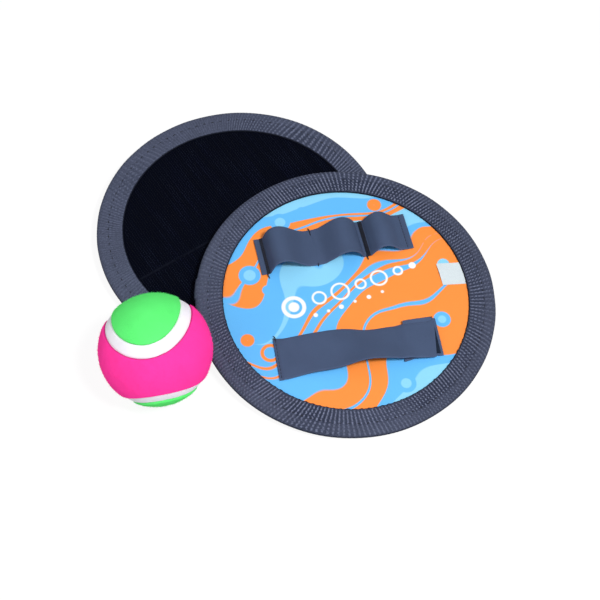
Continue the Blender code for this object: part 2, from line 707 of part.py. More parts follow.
def build_set():
    """Build the two paddles and the ball in the places where they lie."""
    for old in list(bpy.data.objects):
        bpy.data.objects.remove(old)
    paddle_finishes = {
        "board": material("board_plastic", (0.03, 0.03, 0.035), 0.6),
        "hook": material("hook_tape", (0.003, 0.004, 0.010), 0.8),
        "print": material("printed_sheet", (0.90, 0.28, 0.06), 0.45),
        "binding": material("binding_tape", (0.06, 0.07, 0.11), 0.85),
        "strap": material("elastic_strap", (0.07, 0.10, 0.16), 0.85),
        "patch": material("hook_patch", (0.02, 0.025, 0.035), 0.8),
    }
    label_finish = material("label_ribbon", (0.80, 0.88, 0.92), 0.5)
    ball_finishes = {
        "rubber": material("ball_rubber", (0.25, 0.25, 0.25), 0.7),
        "pink": material("pink_felt", (0.95, 0.05, 0.36), 0.95),
        "green": material("green_felt", (0.14, 0.92, 0.21), 0.95),
        "seam": material("white_seam", (0.92, 0.90, 0.95), 0.8),
    }
    turned_over = Matrix.Rotation(math.pi, 4, "Y")
    rear_matrix = paddle_matrix(0.0, 0.0, REAR_TILT, REAR_LOW_SIDE, turned_over)
    front_matrix = front_paddle_matrix(rear_matrix)
    rear = build_paddle("rear", rear_matrix, paddle_finishes, 0.3, True)
    front = build_paddle("front", front_matrix, paddle_finishes, 1.0, False)
    build_label("front", front, label_finish)
    ball = build_ball(ball_centre(rear_matrix, front_matrix), ball_finishes)
    centre_on_floor((rear, front, ball))


build_set()
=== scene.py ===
"""Hook and loop catch set: two round catch paddles and a felt ball, dressed around the packed solids.

Laid out as an add-on: one operator for each kind of piece, and a panel that lists them.
Lengths are in metres. Each paddle is shaped in its own frame, with x along the straps, y from the
wrist strap to the finger strap and z out of the printed back, and is then put in its place.
"""

import json
import math

import bmesh
import bpy
import numpy as np
from mathutils import Euler, Matrix, Vector

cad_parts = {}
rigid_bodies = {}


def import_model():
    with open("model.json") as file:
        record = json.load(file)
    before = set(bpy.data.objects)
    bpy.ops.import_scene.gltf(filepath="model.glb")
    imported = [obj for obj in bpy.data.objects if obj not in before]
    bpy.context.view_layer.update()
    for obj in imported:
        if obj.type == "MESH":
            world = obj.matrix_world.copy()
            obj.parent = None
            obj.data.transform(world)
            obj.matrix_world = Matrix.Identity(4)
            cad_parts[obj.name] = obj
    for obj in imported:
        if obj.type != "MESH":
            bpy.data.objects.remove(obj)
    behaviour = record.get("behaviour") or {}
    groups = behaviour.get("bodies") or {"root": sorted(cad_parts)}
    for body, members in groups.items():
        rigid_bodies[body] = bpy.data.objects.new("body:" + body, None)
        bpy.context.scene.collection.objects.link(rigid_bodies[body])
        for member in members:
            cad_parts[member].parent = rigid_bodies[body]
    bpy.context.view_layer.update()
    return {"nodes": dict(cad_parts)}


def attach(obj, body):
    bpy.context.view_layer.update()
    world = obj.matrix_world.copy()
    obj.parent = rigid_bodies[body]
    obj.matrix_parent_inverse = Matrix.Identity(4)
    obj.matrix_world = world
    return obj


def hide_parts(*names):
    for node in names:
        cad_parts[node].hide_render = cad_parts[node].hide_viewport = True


bl_info = {
    "name": "Hook and loop catch set",
    "version": (1, 0, 0),
    "blender": (4, 5, 0),
    "location": "View3D > Sidebar > Catch Set",
    "description": "Dresses the catch paddles and the felt ball",
    "category": "Object",
}

for default_object in list(bpy.data.objects):
    bpy.data.objects.remove(default_object)
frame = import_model()

PADDLES = ("rear", "front")
MM = 0.001

# Levels in a paddle's own frame, the same as in the packed part
HALF_THICKNESS = 0.0030
RIM_CENTRE_RADIUS = 0.0870
WINDOW_RADIUS = 0.0735
SKIN_RADIUS = 0.0867
BACK_Z = 0.0018
BINDING_THICKNESS = 0.0009
PRINT_THICKNESS = 0.0004
HOOK_BASE_Z = -0.0018
HOOK_TAPE_THICKNESS = 0.0005
BOARD_CENTRE_Z = 0.00005
TAPE_JOIN_ANGLE = math.radians(-35.0)
TAPE_JOIN_OFFSET = 0.001
ALONG_JOIN = np.array([math.cos(TAPE_JOIN_ANGLE), math.sin(TAPE_JOIN_ANGLE)])
ACROSS_JOIN = np.array([-ALONG_JOIN[1], ALONG_JOIN[0]])
LAP_ANGLE = math.radians(167.0)
LAP_LENGTH = 0.013
LAP_RISE = 0.0006
RIB_PITCH = 0.00217
MEAN_GAP = 0.66
# The binding's width from hem to hem, round the rim
TAPE_WIDTH = 2 * (RIM_CENTRE_RADIUS - WINDOW_RADIUS) + math.pi * HALF_THICKNESS

# Straps: the sizes of the packed part, and how the soft ones lie and hang
FINGER_STRAP_OFFSET = 0.0362
FINGER_STRAP_SKEW = math.radians(2.0)
WRIST_STRAP_OFFSET = 0.0355
WRIST_STRAP_SKEW = math.radians(-1.7)
END_TAB = 0.0054
FINGER_LOOPS = (
    # lead before the loop, span, height, where along it the top lies, steep on the left
    (0.0054, 0.0276, 0.0120, 0.29, True),
    (0.0036, 0.0262, 0.0098, 0.36, False),
    (0.0054, 0.0212, 0.0090, 0.40, True),
)
FOOT_LEAN = -0.0006
WRIST_STRAP_LENGTH = 0.0980
WRIST_SEWN_END = 0.0050
HOOK_PATCH_THICKNESS = 0.0008
STRAP_CLEARANCE = 0.0003
WRIST_SLACK = {"rear": 0.3, "front": 1.0}
LONG_STRAP_REACH = 0.0432
LONG_STRAP_SLANT = 0.0033
SHORT_STRAP_REACH = 0.0284
SHORT_STRAP_BEND = 0.0445
# The patch's right end lies past the packed patch's, so that its dark face shows in the wedge by the long strap's
# end: painted shade.
HOOK_PATCH_START = 0.0463
HOOK_PATCH_INSET = 0.0185
STITCH_PITCH = 0.0021
STRAP_THREAD = 0.00042
SEWN_DEPTH = 0.42
SEWN_SPREAD = 0.0009
SOFT_ANGLE = 60.0
WRIST_EDGES = (
    # millimetres: x, front edge's y and bulge, rear edge's y and bulge
    (-49.0, -14.0, 0.0, 13.3, 0.0), (-44.0, -13.8, 0.0, 12.1, 0.0), (-37.0, -12.8, 0.1, 12.5, 0.4),
    (-29.0, -12.5, 2.1, 12.6, 1.5), (-22.0, -12.4, 2.5, 12.5, 2.3), (-15.0, -12.3, 3.0, 12.5, 2.7),
    (-8.5, -12.2, 5.3, 12.5, 2.4), (-2.0, -12.1, 8.7, 12.3, 0.7), (5.0, -12.2, 10.0, 10.9, 0.0),
    (12.0, -12.1, 8.3, 10.7, 0.0), (20.0, -12.2, 5.8, 11.0, 0.1), (26.0, -12.3, 3.2, 10.6, 0.3),
    (31.0, -12.5, 0.8, 10.3, 0.0), (38.0, -12.8, 0.1, 10.2, 0.0), (47.0, -13.0, 0.0, 10.3, 0.0),
)

# Side label, between the binding's hem and the print
LABEL_LENGTH = 0.0143
LABEL_WIDTH = 0.0150
LABEL_END = WINDOW_RADIUS - 0.0001
LABEL_TURN = math.radians(2.4)

# Ball: the felt of the packed part. Its turn and its seam's swing were fitted to the photo.
FELT_THICKNESS = 0.0016
SEAM_GAP = 0.0003
SEAM_SWING = 0.745
BALL_TURN = (48.1, -42.8, 36.9)
FLOOR_CLEARANCE = 0.00005

# Print: lengths in units of the window's radius
PRINT_TURN = math.radians(-24.0)
PRINT_EDGE = 0.005
PRINT_BANDS = (
    # colour, offset, half width, flare, swing, waves, phase
    ("B", 0.12, 0.31, -0.17, 0.15, 2.9, 0.6), ("P", 0.26, 0.06, 0.06, 0.17, 2.9, 0.8),
    ("O", 0.06, 0.022, 0.012, 0.16, 2.9, 0.7), ("O", -0.03, 0.018, 0.010, 0.16, 2.9, 0.5),
    ("B", 0.94, 0.20, 0.12, 0.10, 3.6, 2.0), ("P", 0.98, 0.07, 0.04, 0.10, 3.6, 2.0),
    ("B", -1.00, 0.18, -0.13, 0.12, 3.3, 1.0), ("P", -1.02, 0.07, -0.05, 0.12, 3.3, 1.1),
    ("B", 0.58, 0.014, 0.0, 0.13, 3.2, 1.6), ("B", -0.50, 0.015, 0.0, 0.13, 3.2, 0.4),
)
PRINT_DOTS = (
    # colour, x, y, radius, and a ring's line
    ("B", -0.40, 0.78, 0.085), ("P", -0.40, 0.78, 0.045), ("B", -0.20, 0.86, 0.040),
    ("B", -0.74, 0.32, 0.090), ("P", -0.74, 0.32, 0.050), ("B", -0.62, 0.16, 0.045),
    ("O", 0.42, 0.82, 0.060), ("O", 0.78, 0.46, 0.080, 0.028), ("P", 0.86, 0.16, 0.050),
    ("O", -0.86, -0.26, 0.055), ("O", -0.70, -0.40, 0.080, 0.028), ("B", 0.30, -0.84, 0.080),
    ("P", 0.30, -0.84, 0.042), ("B", 0.72, -0.34, 0.070), ("P", 0.72, -0.34, 0.034),
    ("W", -0.44, -0.03, 0.100, 0.032), ("W", -0.44, -0.03, 0.044), ("W", -0.22, 0.02, 0.062, 0.017),
    ("W", -0.04, 0.05, 0.080, 0.017), ("W", 0.14, 0.09, 0.050, 0.017), ("W", 0.30, 0.12, 0.074, 0.017),
    ("W", 0.47, 0.16, 0.044, 0.017), ("W", 0.60, 0.19, 0.030), ("W", -0.28, -0.13, 0.018),
    ("W", -0.17, -0.11, 0.013), ("W", -0.06, -0.09, 0.020), ("W", 0.06, -0.06, 0.013),
    ("W", 0.18, -0.04, 0.018), ("W", 0.30, -0.01, 0.013),
)

# Stage: the camera as fitted to the photo, and the floor
CAMERA_PLACE = (0.00432, -0.40563, 0.61080)
CAMERA_TILT = math.radians(32.12)
FLOOR_RADIUS = 6.0
FLOOR_SEEN = (0.12, 0.12, 0.122)
FLOOR_GLOW = 0.91


def length(text, default, name):
    """A length property in metres."""
    return bpy.props.FloatProperty(name=name, description=text, default=default, unit="LENGTH", precision=5)


def number(text, default, name):
    """A whole number property."""
    return bpy.props.IntProperty(name=name, description=text, default=default, min=1)


def colour(text, default, name):
    """A colour property, given as it looks on a screen and kept in linear light."""
    linear = [((c / 255 + 0.055) / 1.055) ** 2.4 if c > 10 else c / 255 / 12.92 for c in default]
    return bpy.props.FloatVectorProperty(
        name=name, description=text, default=linear, size=3, min=0.0, max=1.0, subtype="COLOR"
    )


class CATCHSET_PG_paddle(bpy.types.PropertyGroup):
    """Sizes and colours of the two paddles."""

    rib_count: number("Ribs of the edge tape, counted once round the paddle", 232, "Rib count")
    rib_depth: length("Depth of the grooves between the ribs", 0.00012, "Rib depth")
    stitch_pitch: length("Length of one stitch in the edge tape's seam", 0.0054, "Stitch pitch")
    stitch_radius: length("Distance of the seam from the paddle's centre", 0.0826, "Seam radius")
    thread: length("Thickness of the sewing thread", 0.00060, "Thread")
    binding: colour("Edge tape", (114, 121, 146), "Edge tape")
    # Also the colour of the painted shade along the tape's hems and its rim's fold.
    binding_shade: colour("Grooves of the edge tape", (45, 51, 70), "Edge tape grooves")
    board: colour("Board inside the paddle", (45, 46, 50), "Board")


class CATCHSET_PG_hooks(bpy.types.PropertyGroup):
    """Sizes and colours of the hook tape."""

    row_pitch: length("Distance between rows of hooks", 0.00150, "Row pitch")
    hook_pitch: length("Distance between hooks in a row", 0.00145, "Hook pitch")
    hook_height: length("Height of a hook over its tape", 0.00110, "Hook height")
    monofilament: length("Thickness of a hook's nylon", 0.00024, "Nylon thickness")
    hook: colour("Hooks", (10, 13, 31), "Hooks")
    hook_worn: colour("Hooks in the duller patches", (15, 19, 30), "Worn hooks")
    ground: colour("Woven ground under the hooks", (6, 9, 22), "Hook tape ground")
    selvedge: colour("Hook tape's edge beside the join", (27, 30, 42), "Selvedge")


class CATCHSET_PG_print(bpy.types.PropertyGroup):
    """Colours of the printed backs."""

    orange: colour("Warm ground of the print", (255, 145, 60), "Orange")
    blue: colour("Blue fields of the print", (98, 188, 252), "Blue")
    pale: colour("Pale shapes on the blue", (140, 214, 250), "Pale blue")
    white: colour("White lines and dots", (250, 250, 252), "White")


class CATCHSET_PG_strap(bpy.types.PropertyGroup):
    """Sizes and colours of the elastic straps."""

    width: length("Width of a strap", 0.0250, "Width")
    thickness: length("Thickness of a strap", 0.0012, "Thickness")
    strap: colour("Elastic straps", (73, 88, 117), "Straps")
    strap_shade: colour("Hollows of the straps' knit", (48, 58, 84), "Strap hollows")
    # The thread is dark partly to serve as painted shade in the bar tacks at the loops' feet.
    thread: colour("Sewing thread", (17, 21, 35), "Thread")
    # The hook patch's dark colour also serves as painted shade in the wedge by the long strap's end.
    patch: colour("Hook patch under the overlap", (26, 38, 56), "Hook patch")
    label: colour("Bare side label", (217, 228, 233), "Label")


class CATCHSET_PG_ball(bpy.types.PropertyGroup):
    """Sizes and colours of the ball."""

    diameter: length("Ball's diameter over the felt", 0.0640, "Diameter")
    seam_width: length("Width of the seam between the felt panels", 0.0076, "Seam width")
    fibre_length: length("Mean length of a loose felt fibre", 0.00075, "Fibre length")
    fibre_count: number("Loose fibres on each felt panel", 7400, "Fibres")
    pink: colour("Pink felt", (255, 60, 160), "Pink felt")
    green: colour("Green felt", (102, 250, 126), "Green felt")
    seam: colour("Seam", (246, 242, 250), "Seam")
    rubber: colour("Rubber core", (120, 120, 122), "Rubber")


class CATCHSET_PG_stage(bpy.types.PropertyGroup):
    """The floor, the lamps and the camera."""

    floor: colour("Floor", (196, 196, 198), "Floor")
    sky_strength: bpy.props.FloatProperty(
        name="Sky", description="Strength of the even light from all round", default=0.29
    )
    key_power: bpy.props.FloatProperty(name="Main lamp", description="Power of the main lamp in watts", default=11.9)
    focal_length: bpy.props.FloatProperty(
        name="Focal length", description="Camera's focal length in millimetres", default=71.22
    )


GROUPS = {
    "catch_paddle": CATCHSET_PG_paddle,
    "catch_hooks": CATCHSET_PG_hooks,
    "catch_print": CATCHSET_PG_print,
    "catch_strap": CATCHSET_PG_strap,
    "catch_ball": CATCHSET_PG_ball,
    "catch_stage": CATCHSET_PG_stage,
}


def mesh_points(mesh):
    """A mesh's points as an array of rows."""
    points = np.empty(len(mesh.vertices) * 3, np.float32)
    mesh.vertices.foreach_get("co", points)
    return points.reshape(-1, 3).astype(float)


def corners(node):
    """The distinct corner points of a packed solid."""
    return np.unique(np.round(mesh_points(frame["nodes"][node].data), 7), axis=0)


def paddle_matrix(prefix):
    """A paddle's own frame: its board gives the middle and the plane, its finger strap the turn."""
    board = corners(prefix + "_core_board")
    centre = board.mean(axis=0)
    normal = np.linalg.svd(board - centre)[2][2]
    normal *= np.sign(normal @ (corners(prefix + "_printed_back").mean(axis=0) - centre))
    strap = corners(prefix + "_finger_strap")
    along = np.linalg.svd(strap - strap.mean(axis=0))[2][0]
    along = Matrix.Rotation(-FINGER_STRAP_SKEW, 3, Vector(normal)) @ Vector(along)
    to_fingers = Vector(strap.mean(axis=0) - corners(prefix + "_wrist_strap_long").mean(axis=0))
    if Vector(normal).cross(along).dot(to_fingers) < 0:
        along = -along
    spokes = board - centre
    spokes -= np.outer(spokes @ normal, normal)
    x = Vector(spokes[np.argmax(spokes @ np.array(along))]).normalized()
    z = Vector(normal).normalized()
    y = z.cross(x)
    origin = Vector(centre) - z * BOARD_CENTRE_Z
    return Matrix([[x[i], y[i], z[i], origin[i]] for i in range(3)] + [[0, 0, 0, 1]])


def ball_matrix():
    """The ball's own frame: its core gives the middle, and its turn is fitted to the photo."""
    centre = Vector(corners("ball_core").mean(axis=0))
    return Matrix.LocRotScale(centre, Euler([math.radians(angle) for angle in BALL_TURN]), None)


def bumps(points, size, seed):
    """Smooth seeded waves between about -1 and 1 over an array of points, with features of a size."""
    points = np.asarray(points, float)
    draw = np.random.default_rng(seed)
    total = np.zeros(points.shape[:-1])
    for octave in range(6):
        direction = draw.normal(size=points.shape[-1])
        direction *= 2 * math.pi / size * (0.6 + 0.2 * octave) / np.linalg.norm(direction)
        total += np.sin(points @ direction + draw.uniform(0, 2 * math.pi))
    return total / 3.0


def smooth_step(value):
    """0 below 0, 1 above 1, and an even S between them."""
    value = np.clip(value, 0.0, 1.0)
    return value * value * (3.0 - 2.0 * value)


def hump(position, centre, spread):
    """A smooth hump of height 1."""
    return np.exp(-(((position - centre) / spread) ** 2))


def set_points(mesh, points):
    """Write an array of rows back as a mesh's points."""
    mesh.vertices.foreach_set("co", np.asarray(points, np.float32).ravel())
    mesh.update()


def take_layer(mesh, name):
    """Read a whole-number layer of a mesh's points as an array, and remove the layer."""
    layer = mesh.attributes[name]
    values = np.empty(len(mesh.vertices), np.int32)
    layer.data.foreach_get("value", values)
    mesh.attributes.remove(layer)
    return values


def to_mesh(bm, name):
    """Turn a bmesh into a mesh and let it go."""
    mesh = bpy.data.meshes.new(name)
    bm.to_mesh(mesh)
    bm.free()
    return mesh


def set_uv(mesh, u, v, wrap=None):
    """Lay a UV map from a value pair for each point, in metres. wrap is u's length round a closed band."""
    loops = np.empty(len(mesh.loops), np.int32)
    mesh.loops.foreach_get("vertex_index", loops)
    u_loop, v_loop = np.asarray(u, float)[loops], np.asarray(v, float)[loops]
    if wrap:
        starts = np.empty(len(mesh.polygons), np.int32)
        mesh.polygons.foreach_get("loop_start", starts)
        first = u_loop[starts]
        owner = np.searchsorted(starts, np.arange(len(loops)), side="right") - 1
        u_loop = u_loop - wrap * np.round((u_loop - first[owner]) / wrap)
    layer = mesh.uv_layers.new(name="weave")
    layer.data.foreach_set("uv", np.stack([u_loop, v_loop], axis=1).astype(np.float32).ravel())


def add_piece(name, mesh, finish, replaces=(), place=None, smooth_angle=50.0):
    """Make a mesh a named piece that rides with the set and stands for its packed solids."""
    if place is not None:
        mesh.transform(place)
    mesh.shade_smooth()
    if smooth_angle:
        mesh.set_sharp_from_angle(angle=math.radians(smooth_angle))
    mesh.materials.append(finish)
    piece = bpy.data.objects.new(name, mesh)
    bpy.context.scene.collection.objects.link(piece)
    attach(piece, "root")
    if replaces:
        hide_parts(*replaces)
    return piece


def only_verts(items):
    """The points among some bmesh geometry."""
    return [item for item in items if isinstance(item, bmesh.types.BMVert)]


def copy_all(bm):
    """Copy all of a bmesh within itself: the copies' points."""
    return only_verts(bmesh.ops.duplicate(bm, geom=bm.verts[:] + bm.edges[:] + bm.faces[:])["geom"])


def thicken(bm, move):
    """Close an open sheet to a slab. move gives a point of the far face for one of the near face."""
    for vert in only_verts(bmesh.ops.extrude_face_region(bm, geom=bm.faces[:], use_keep_orig=True)["geom"]):
        vert.co = move(vert.co)
    bmesh.ops.recalc_face_normals(bm, faces=bm.faces)


def raised(rise):
    """A move straight up, for thicken."""
    return lambda point: point + Vector((0, 0, rise))


def grid_sheet(columns, rows, spot):
    """A grid of faces whose point in column i and row j lies at spot(i, j)."""
    bm = bmesh.new()
    bmesh.ops.create_grid(bm, x_segments=columns, y_segments=rows, size=0.5)
    for vert in bm.verts:
        vert.co = spot(round((vert.co.x + 0.5) * columns), round((vert.co.y + 0.5) * rows))
    return bm


def add_tube(bm, path, radii, sides):
    """A closed tube through a few points, with a radius at each of them."""
    rings = []
    for i, point in enumerate(path):
        ahead = Vector(path[min(i + 1, len(path) - 1)]) - Vector(path[max(i - 1, 0)])
        place = Matrix.Translation(point) @ ahead.to_track_quat("Z", "X").to_matrix().to_4x4()
        made = bmesh.ops.create_circle(bm, segments=sides, radius=radii[i], matrix=place)["verts"]
        rings.append(list({edge for vert in made for edge in vert.link_edges}))
    for near, far in zip(rings, rings[1:]):
        bmesh.ops.bridge_loops(bm, edges=near + far)
    bmesh.ops.holes_fill(bm, edges=rings[0] + rings[-1], sides=0)
    bmesh.ops.recalc_face_normals(bm, faces=bm.faces)


def repeat_shape(seed, places, name):
    """Copies of a small shape in one mesh, one for each 4 x 4 place in an array."""
    layer = seed.verts.layers.int.new("copy")
    made, count = 1, len(places)
    while made < count:
        for vert in copy_all(seed):
            vert[layer] += made
        made *= 2
    spare = [vert for vert in seed.verts if vert[layer] >= count]
    bmesh.ops.delete(seed, geom=spare, context="VERTS")
    mesh = to_mesh(seed, name)
    owner = take_layer(mesh, "copy")
    points = np.concatenate([mesh_points(mesh), np.ones((len(owner), 1))], axis=1)
    set_points(mesh, np.einsum("nij,nj->ni", places[owner], points)[:, :3])
    return mesh


def place_array(origins, ahead, up, scale=None):
    """4 x 4 places whose x points ahead and whose z points up."""
    ahead, up = np.asarray(ahead, float), np.asarray(up, float)
    aside = np.cross(up, ahead)
    aside /= np.linalg.norm(aside, axis=1, keepdims=True)
    ahead = np.cross(aside, up)
    axes = [part / np.linalg.norm(part, axis=1, keepdims=True) for part in (ahead, aside, up)]
    places = np.zeros((len(origins), 4, 4))
    for column, axis in enumerate(axes):
        places[:, :3, column] = axis if scale is None else axis * scale[:, column : column + 1]
    places[:, :3, 3] = origins
    places[:, 3, 3] = 1.0
    return places


def spin_round(outline, steps, closed):
    """A full turn of an outline about z: an eighth of it is spun, and is then doubled three times."""
    bm = bmesh.new()
    spots = [bm.verts.new(point) for point in outline]
    edges = [bm.edges.new(pair) for pair in zip(spots, spots[1:])]
    if closed:
        edges.append(bm.edges.new((spots[-1], spots[0])))
    bmesh.ops.spin(bm, geom=spots + edges, axis=(0, 0, 1), angle=math.tau / 8, steps=steps // 8)
    for turn in (math.tau / 8, math.tau / 4, math.tau / 2):
        bmesh.ops.rotate(bm, verts=copy_all(bm), cent=(0, 0, 0), matrix=Matrix.Rotation(turn, 3, "Z"))
        bmesh.ops.remove_doubles(bm, verts=bm.verts, dist=2e-6)
    bmesh.ops.recalc_face_normals(bm, faces=bm.faces)
    return bm


def stitch_seed(pitch, thread):
    """One stitch of thread along x: it rises out of the cloth, lies on it and goes in again."""
    bm = bmesh.new()
    half, r = pitch * 0.42, thread / 2
    spots = ((-1.0, -2.0), (-0.8, 0.1), (0.0, 0.6), (0.8, 0.1), (1.0, -2.0))
    add_tube(bm, [(half * x, 0, r * z) for x, z in spots], [r * 0.7, r, r, r, r * 0.7], 5)
    return bm


class Nodes:
    """Adds and links nodes, so that a material reads as a list of steps."""

    def __init__(self, tree):
        self.tree = tree

    def put(self, socket, value):
        if isinstance(value, bpy.types.NodeSocket):
            self.tree.links.new(value, socket)
        elif getattr(socket, "type", "") == "RGBA" and len(value) == 3:
            socket.default_value = (*value, 1.0)
        else:
            socket.default_value = value

    def add(self, kind, settings=None, values=None):
        node = self.tree.nodes.new(kind)
        for key, value in (settings or {}).items():
            setattr(node, key, value)
        for key, value in (values or {}).items():
            self.put(node.inputs[key], value)
        return node

    def math(self, operation, *values):
        return self.add("ShaderNodeMath", {"operation": operation}, dict(enumerate(values))).outputs[0]

    def times(self, first, second):
        return self.math("MULTIPLY", first, second)

    def minus(self, first, second):
        return self.math("SUBTRACT", first, second)

    def vector(self, operation, first, second):
        key = "Scale" if operation == "SCALE" else 1
        node = self.add("ShaderNodeVectorMath", {"operation": operation}, {0: first, key: second})
        return node.outputs["Value" if operation == "DISTANCE" else "Vector"]

    def axis(self, vector, index):
        return self.add("ShaderNodeSeparateXYZ", None, {"Vector": vector}).outputs[index]

    def mix(self, factor, first, second, blend="MIX"):
        settings = {"data_type": "RGBA", "blend_type": blend}
        return self.add("ShaderNodeMix", settings, {0: factor, 6: first, 7: second}).outputs[2]

    def tint(self, face, shade):
        return self.mix(1.0, face, shade, "MULTIPLY")

    def ramp(self, value, low, high, to_low=0.0, to_high=1.0):
        values = dict(enumerate((value, low, high, to_low, to_high)))
        return self.add("ShaderNodeMapRange", {"interpolation_type": "SMOOTHSTEP"}, values).outputs[0]

    def noise(self, vector, scale, detail=2.0, roughness=0.5, output="Fac"):
        values = {"Vector": vector, "Scale": scale, "Detail": detail, "Roughness": roughness}
        return self.add("ShaderNodeTexNoise", None, values).outputs[output]

    def group(self, name, **values):
        values = {key.replace("_", " "): value for key, value in values.items()}
        return self.add("ShaderNodeGroup", {"node_tree": shared_group(name)}, values).outputs

    def place(self):
        return self.add("ShaderNodeTexCoord").outputs["Object"]

    def uv(self):
        return self.add("ShaderNodeUVMap", {"uv_map": "weave"}).outputs[0]

    def bump(self, height, strength, distance):
        values = {"Strength": strength, "Distance": distance, "Height": height}
        return self.add("ShaderNodeBump", None, values).outputs[0]

    def cover(self, shader, base, shade, fuzz, rough, height, strength, depth):
        """Feed a shader: colour times shade, roughness between two values over the fuzz, and a bump."""
        self.put(shader["Base Color"], self.tint(base, shade))
        self.put(shader["Roughness"], self.ramp(fuzz, 0.2, 0.8, *rough))
        self.put(shader["Normal"], self.bump(height, strength, depth))


def crossed_threads(nodes, given):
    """Rows of threads that cross: their height, and the hollows between them."""
    wobble = nodes.times(nodes.minus(nodes.noise(given["Vector"], 420.0), 0.5), given["Uneven"])
    waves = []
    for axis, pitch, shift in ((0, "Pitch Along", 0.0), (1, "Pitch Across", 0.25)):
        count = nodes.math("DIVIDE", nodes.axis(given["Vector"], axis), given[pitch])
        turn = nodes.times(nodes.math("ADD", nodes.math("ADD", count, wobble), shift), math.tau)
        waves.append(nodes.math("SINE", turn))
    count = nodes.math("DIVIDE", nodes.axis(given["Vector"], 0), given["Pitch Along"])
    rib = nodes.math("SINE", nodes.times(count, math.tau))
    mixed = {0: given["Ribs"], 2: nodes.times(*waves), 3: rib}
    wave = nodes.add("ShaderNodeMix", {"data_type": "FLOAT"}, mixed).outputs[0]
    height = nodes.math("MULTIPLY_ADD", wave, 0.5, 0.5)
    return height, nodes.ramp(height, 0.38, 0.08)


def fibre_tone(nodes, given):
    """Uneven tone of fibres, broad drifts with a fine speckle over them, and their fuzz."""
    drift = nodes.minus(nodes.noise(given["Vector"], given["Drift Scale"], 3.0), 0.5)
    fuzz = nodes.noise(given["Vector"], given["Speckle Scale"], 3.0, 0.65)
    tone = nodes.math("MULTIPLY_ADD", drift, given["Drift"], 1.0)
    return nodes.math("MULTIPLY_ADD", nodes.minus(fuzz, 0.5), given["Speckle"], tone), fuzz


def wavy_band(nodes, given):
    """A mask of a wavy band across the print."""
    turn = {"Vector": given["Vector"], "Angle": given["Turn"]}
    turned = nodes.add("ShaderNodeVectorRotate", {"rotation_type": "Z_AXIS"}, turn).outputs[0]
    x, y = nodes.axis(turned, 0), nodes.axis(turned, 1)
    wave = nodes.math("SINE", nodes.math("MULTIPLY_ADD", x, given["Waves"], given["Phase"]))
    line = nodes.math("MULTIPLY_ADD", wave, given["Swing"], given["Offset"])
    half = nodes.math("MULTIPLY_ADD", x, given["Flare"], given["Half Width"])
    inside = nodes.minus(half, nodes.math("ABSOLUTE", nodes.minus(y, line)))
    return [nodes.ramp(inside, -PRINT_EDGE, PRINT_EDGE)]


def ring_or_dot(nodes, given):
    """A mask of a ring or a filled dot on the print."""
    reach = nodes.vector("DISTANCE", given["Vector"], given["Centre"])
    half = nodes.times(given["Line"], 0.5)
    from_line = nodes.minus(reach, nodes.minus(given["Radius"], half))
    inside = nodes.minus(half, nodes.math("ABSOLUTE", from_line))
    return [nodes.ramp(inside, -PRINT_EDGE, PRINT_EDGE)]


KNIT, TONE, BAND, RING = "Crossed threads", "Fibre tone", "Wavy band", "Ring or dot"
BAND_INPUTS = ("Turn", "Offset", "Half Width", "Flare", "Swing", "Waves", "Phase")
GROUP_PLANS = {
    # its steps, vector inputs, number inputs with their defaults, number outputs
    KNIT: (
        crossed_threads,
        ["Vector"],
        {"Pitch Along": 0.001, "Pitch Across": 0.001, "Uneven": 0.2, "Ribs": 0.0},
        ["Height", "Hollow"],
    ),
    TONE: (
        fibre_tone,
        ["Vector"],
        {"Drift Scale": 40.0, "Speckle Scale": 1500.0, "Drift": 0.1, "Speckle": 0.1},
        ["Tone", "Fuzz"],
    ),
    BAND: (wavy_band, ["Vector"], dict.fromkeys(BAND_INPUTS, 0.0), ["Mask"]),
    RING: (ring_or_dot, ["Vector", "Centre"], {"Radius": 0.1, "Line": 0.1}, ["Mask"]),
}


def shared_group(name):
    """A node group by its name, made when it is first asked for."""
    if name in bpy.data.node_groups:
        return bpy.data.node_groups[name]
    steps, vectors, numbers, outputs = GROUP_PLANS[name]
    tree = bpy.data.node_groups.new(name, "ShaderNodeTree")
    for label in vectors:
        tree.interface.new_socket(label, in_out="INPUT", socket_type="NodeSocketVector")
    for label, default in numbers.items():
        socket = tree.interface.new_socket(label, in_out="INPUT", socket_type="NodeSocketFloat")
        socket.default_value = default
    for label in outputs:
        tree.interface.new_socket(label, in_out="OUTPUT", socket_type="NodeSocketFloat")
    nodes = Nodes(tree)
    results = steps(nodes, tree.nodes.new("NodeGroupInput").outputs)
    ends = tree.nodes.new("NodeGroupOutput").inputs
    for label, result in zip(outputs, results):
        nodes.put(ends[label], result)
    return tree


def new_material(name, roughness, specular=0.3, sheen=0.0):
    """A material with its Principled shader, and the nodes that will feed it."""
    made = bpy.data.materials.new(name)
    made.use_nodes = True
    shader = made.node_tree.nodes["Principled BSDF"].inputs
    shader["Roughness"].default_value = roughness
    shader["Specular IOR Level"].default_value = specular
    shader["Sheen Weight"].default_value = sheen
    return made, Nodes(made.node_tree), shader


def knit_material(name, face, shade, pitches, depth, specular=0.15, drift=0.12):
    """Knitted or woven cloth: crossed threads on the piece's own UV map, in metres."""
    made, nodes, shader = new_material(name, 0.85, specular)
    knit = nodes.group(KNIT, Vector=nodes.uv(), Pitch_Along=pitches[0], Pitch_Across=pitches[1], Uneven=0.25)
    tone = nodes.group(TONE, Vector=nodes.place(), Drift_Scale=60.0, Drift=drift, Speckle=0.25)
    base = nodes.mix(nodes.times(knit["Hollow"], 0.75), face, shade)
    height = nodes.math("MULTIPLY_ADD", tone["Fuzz"], 0.35, knit["Height"])
    nodes.cover(shader, base, tone["Tone"], tone["Fuzz"], (0.74, 0.94), height, 0.8, depth)
    return made, nodes, shader


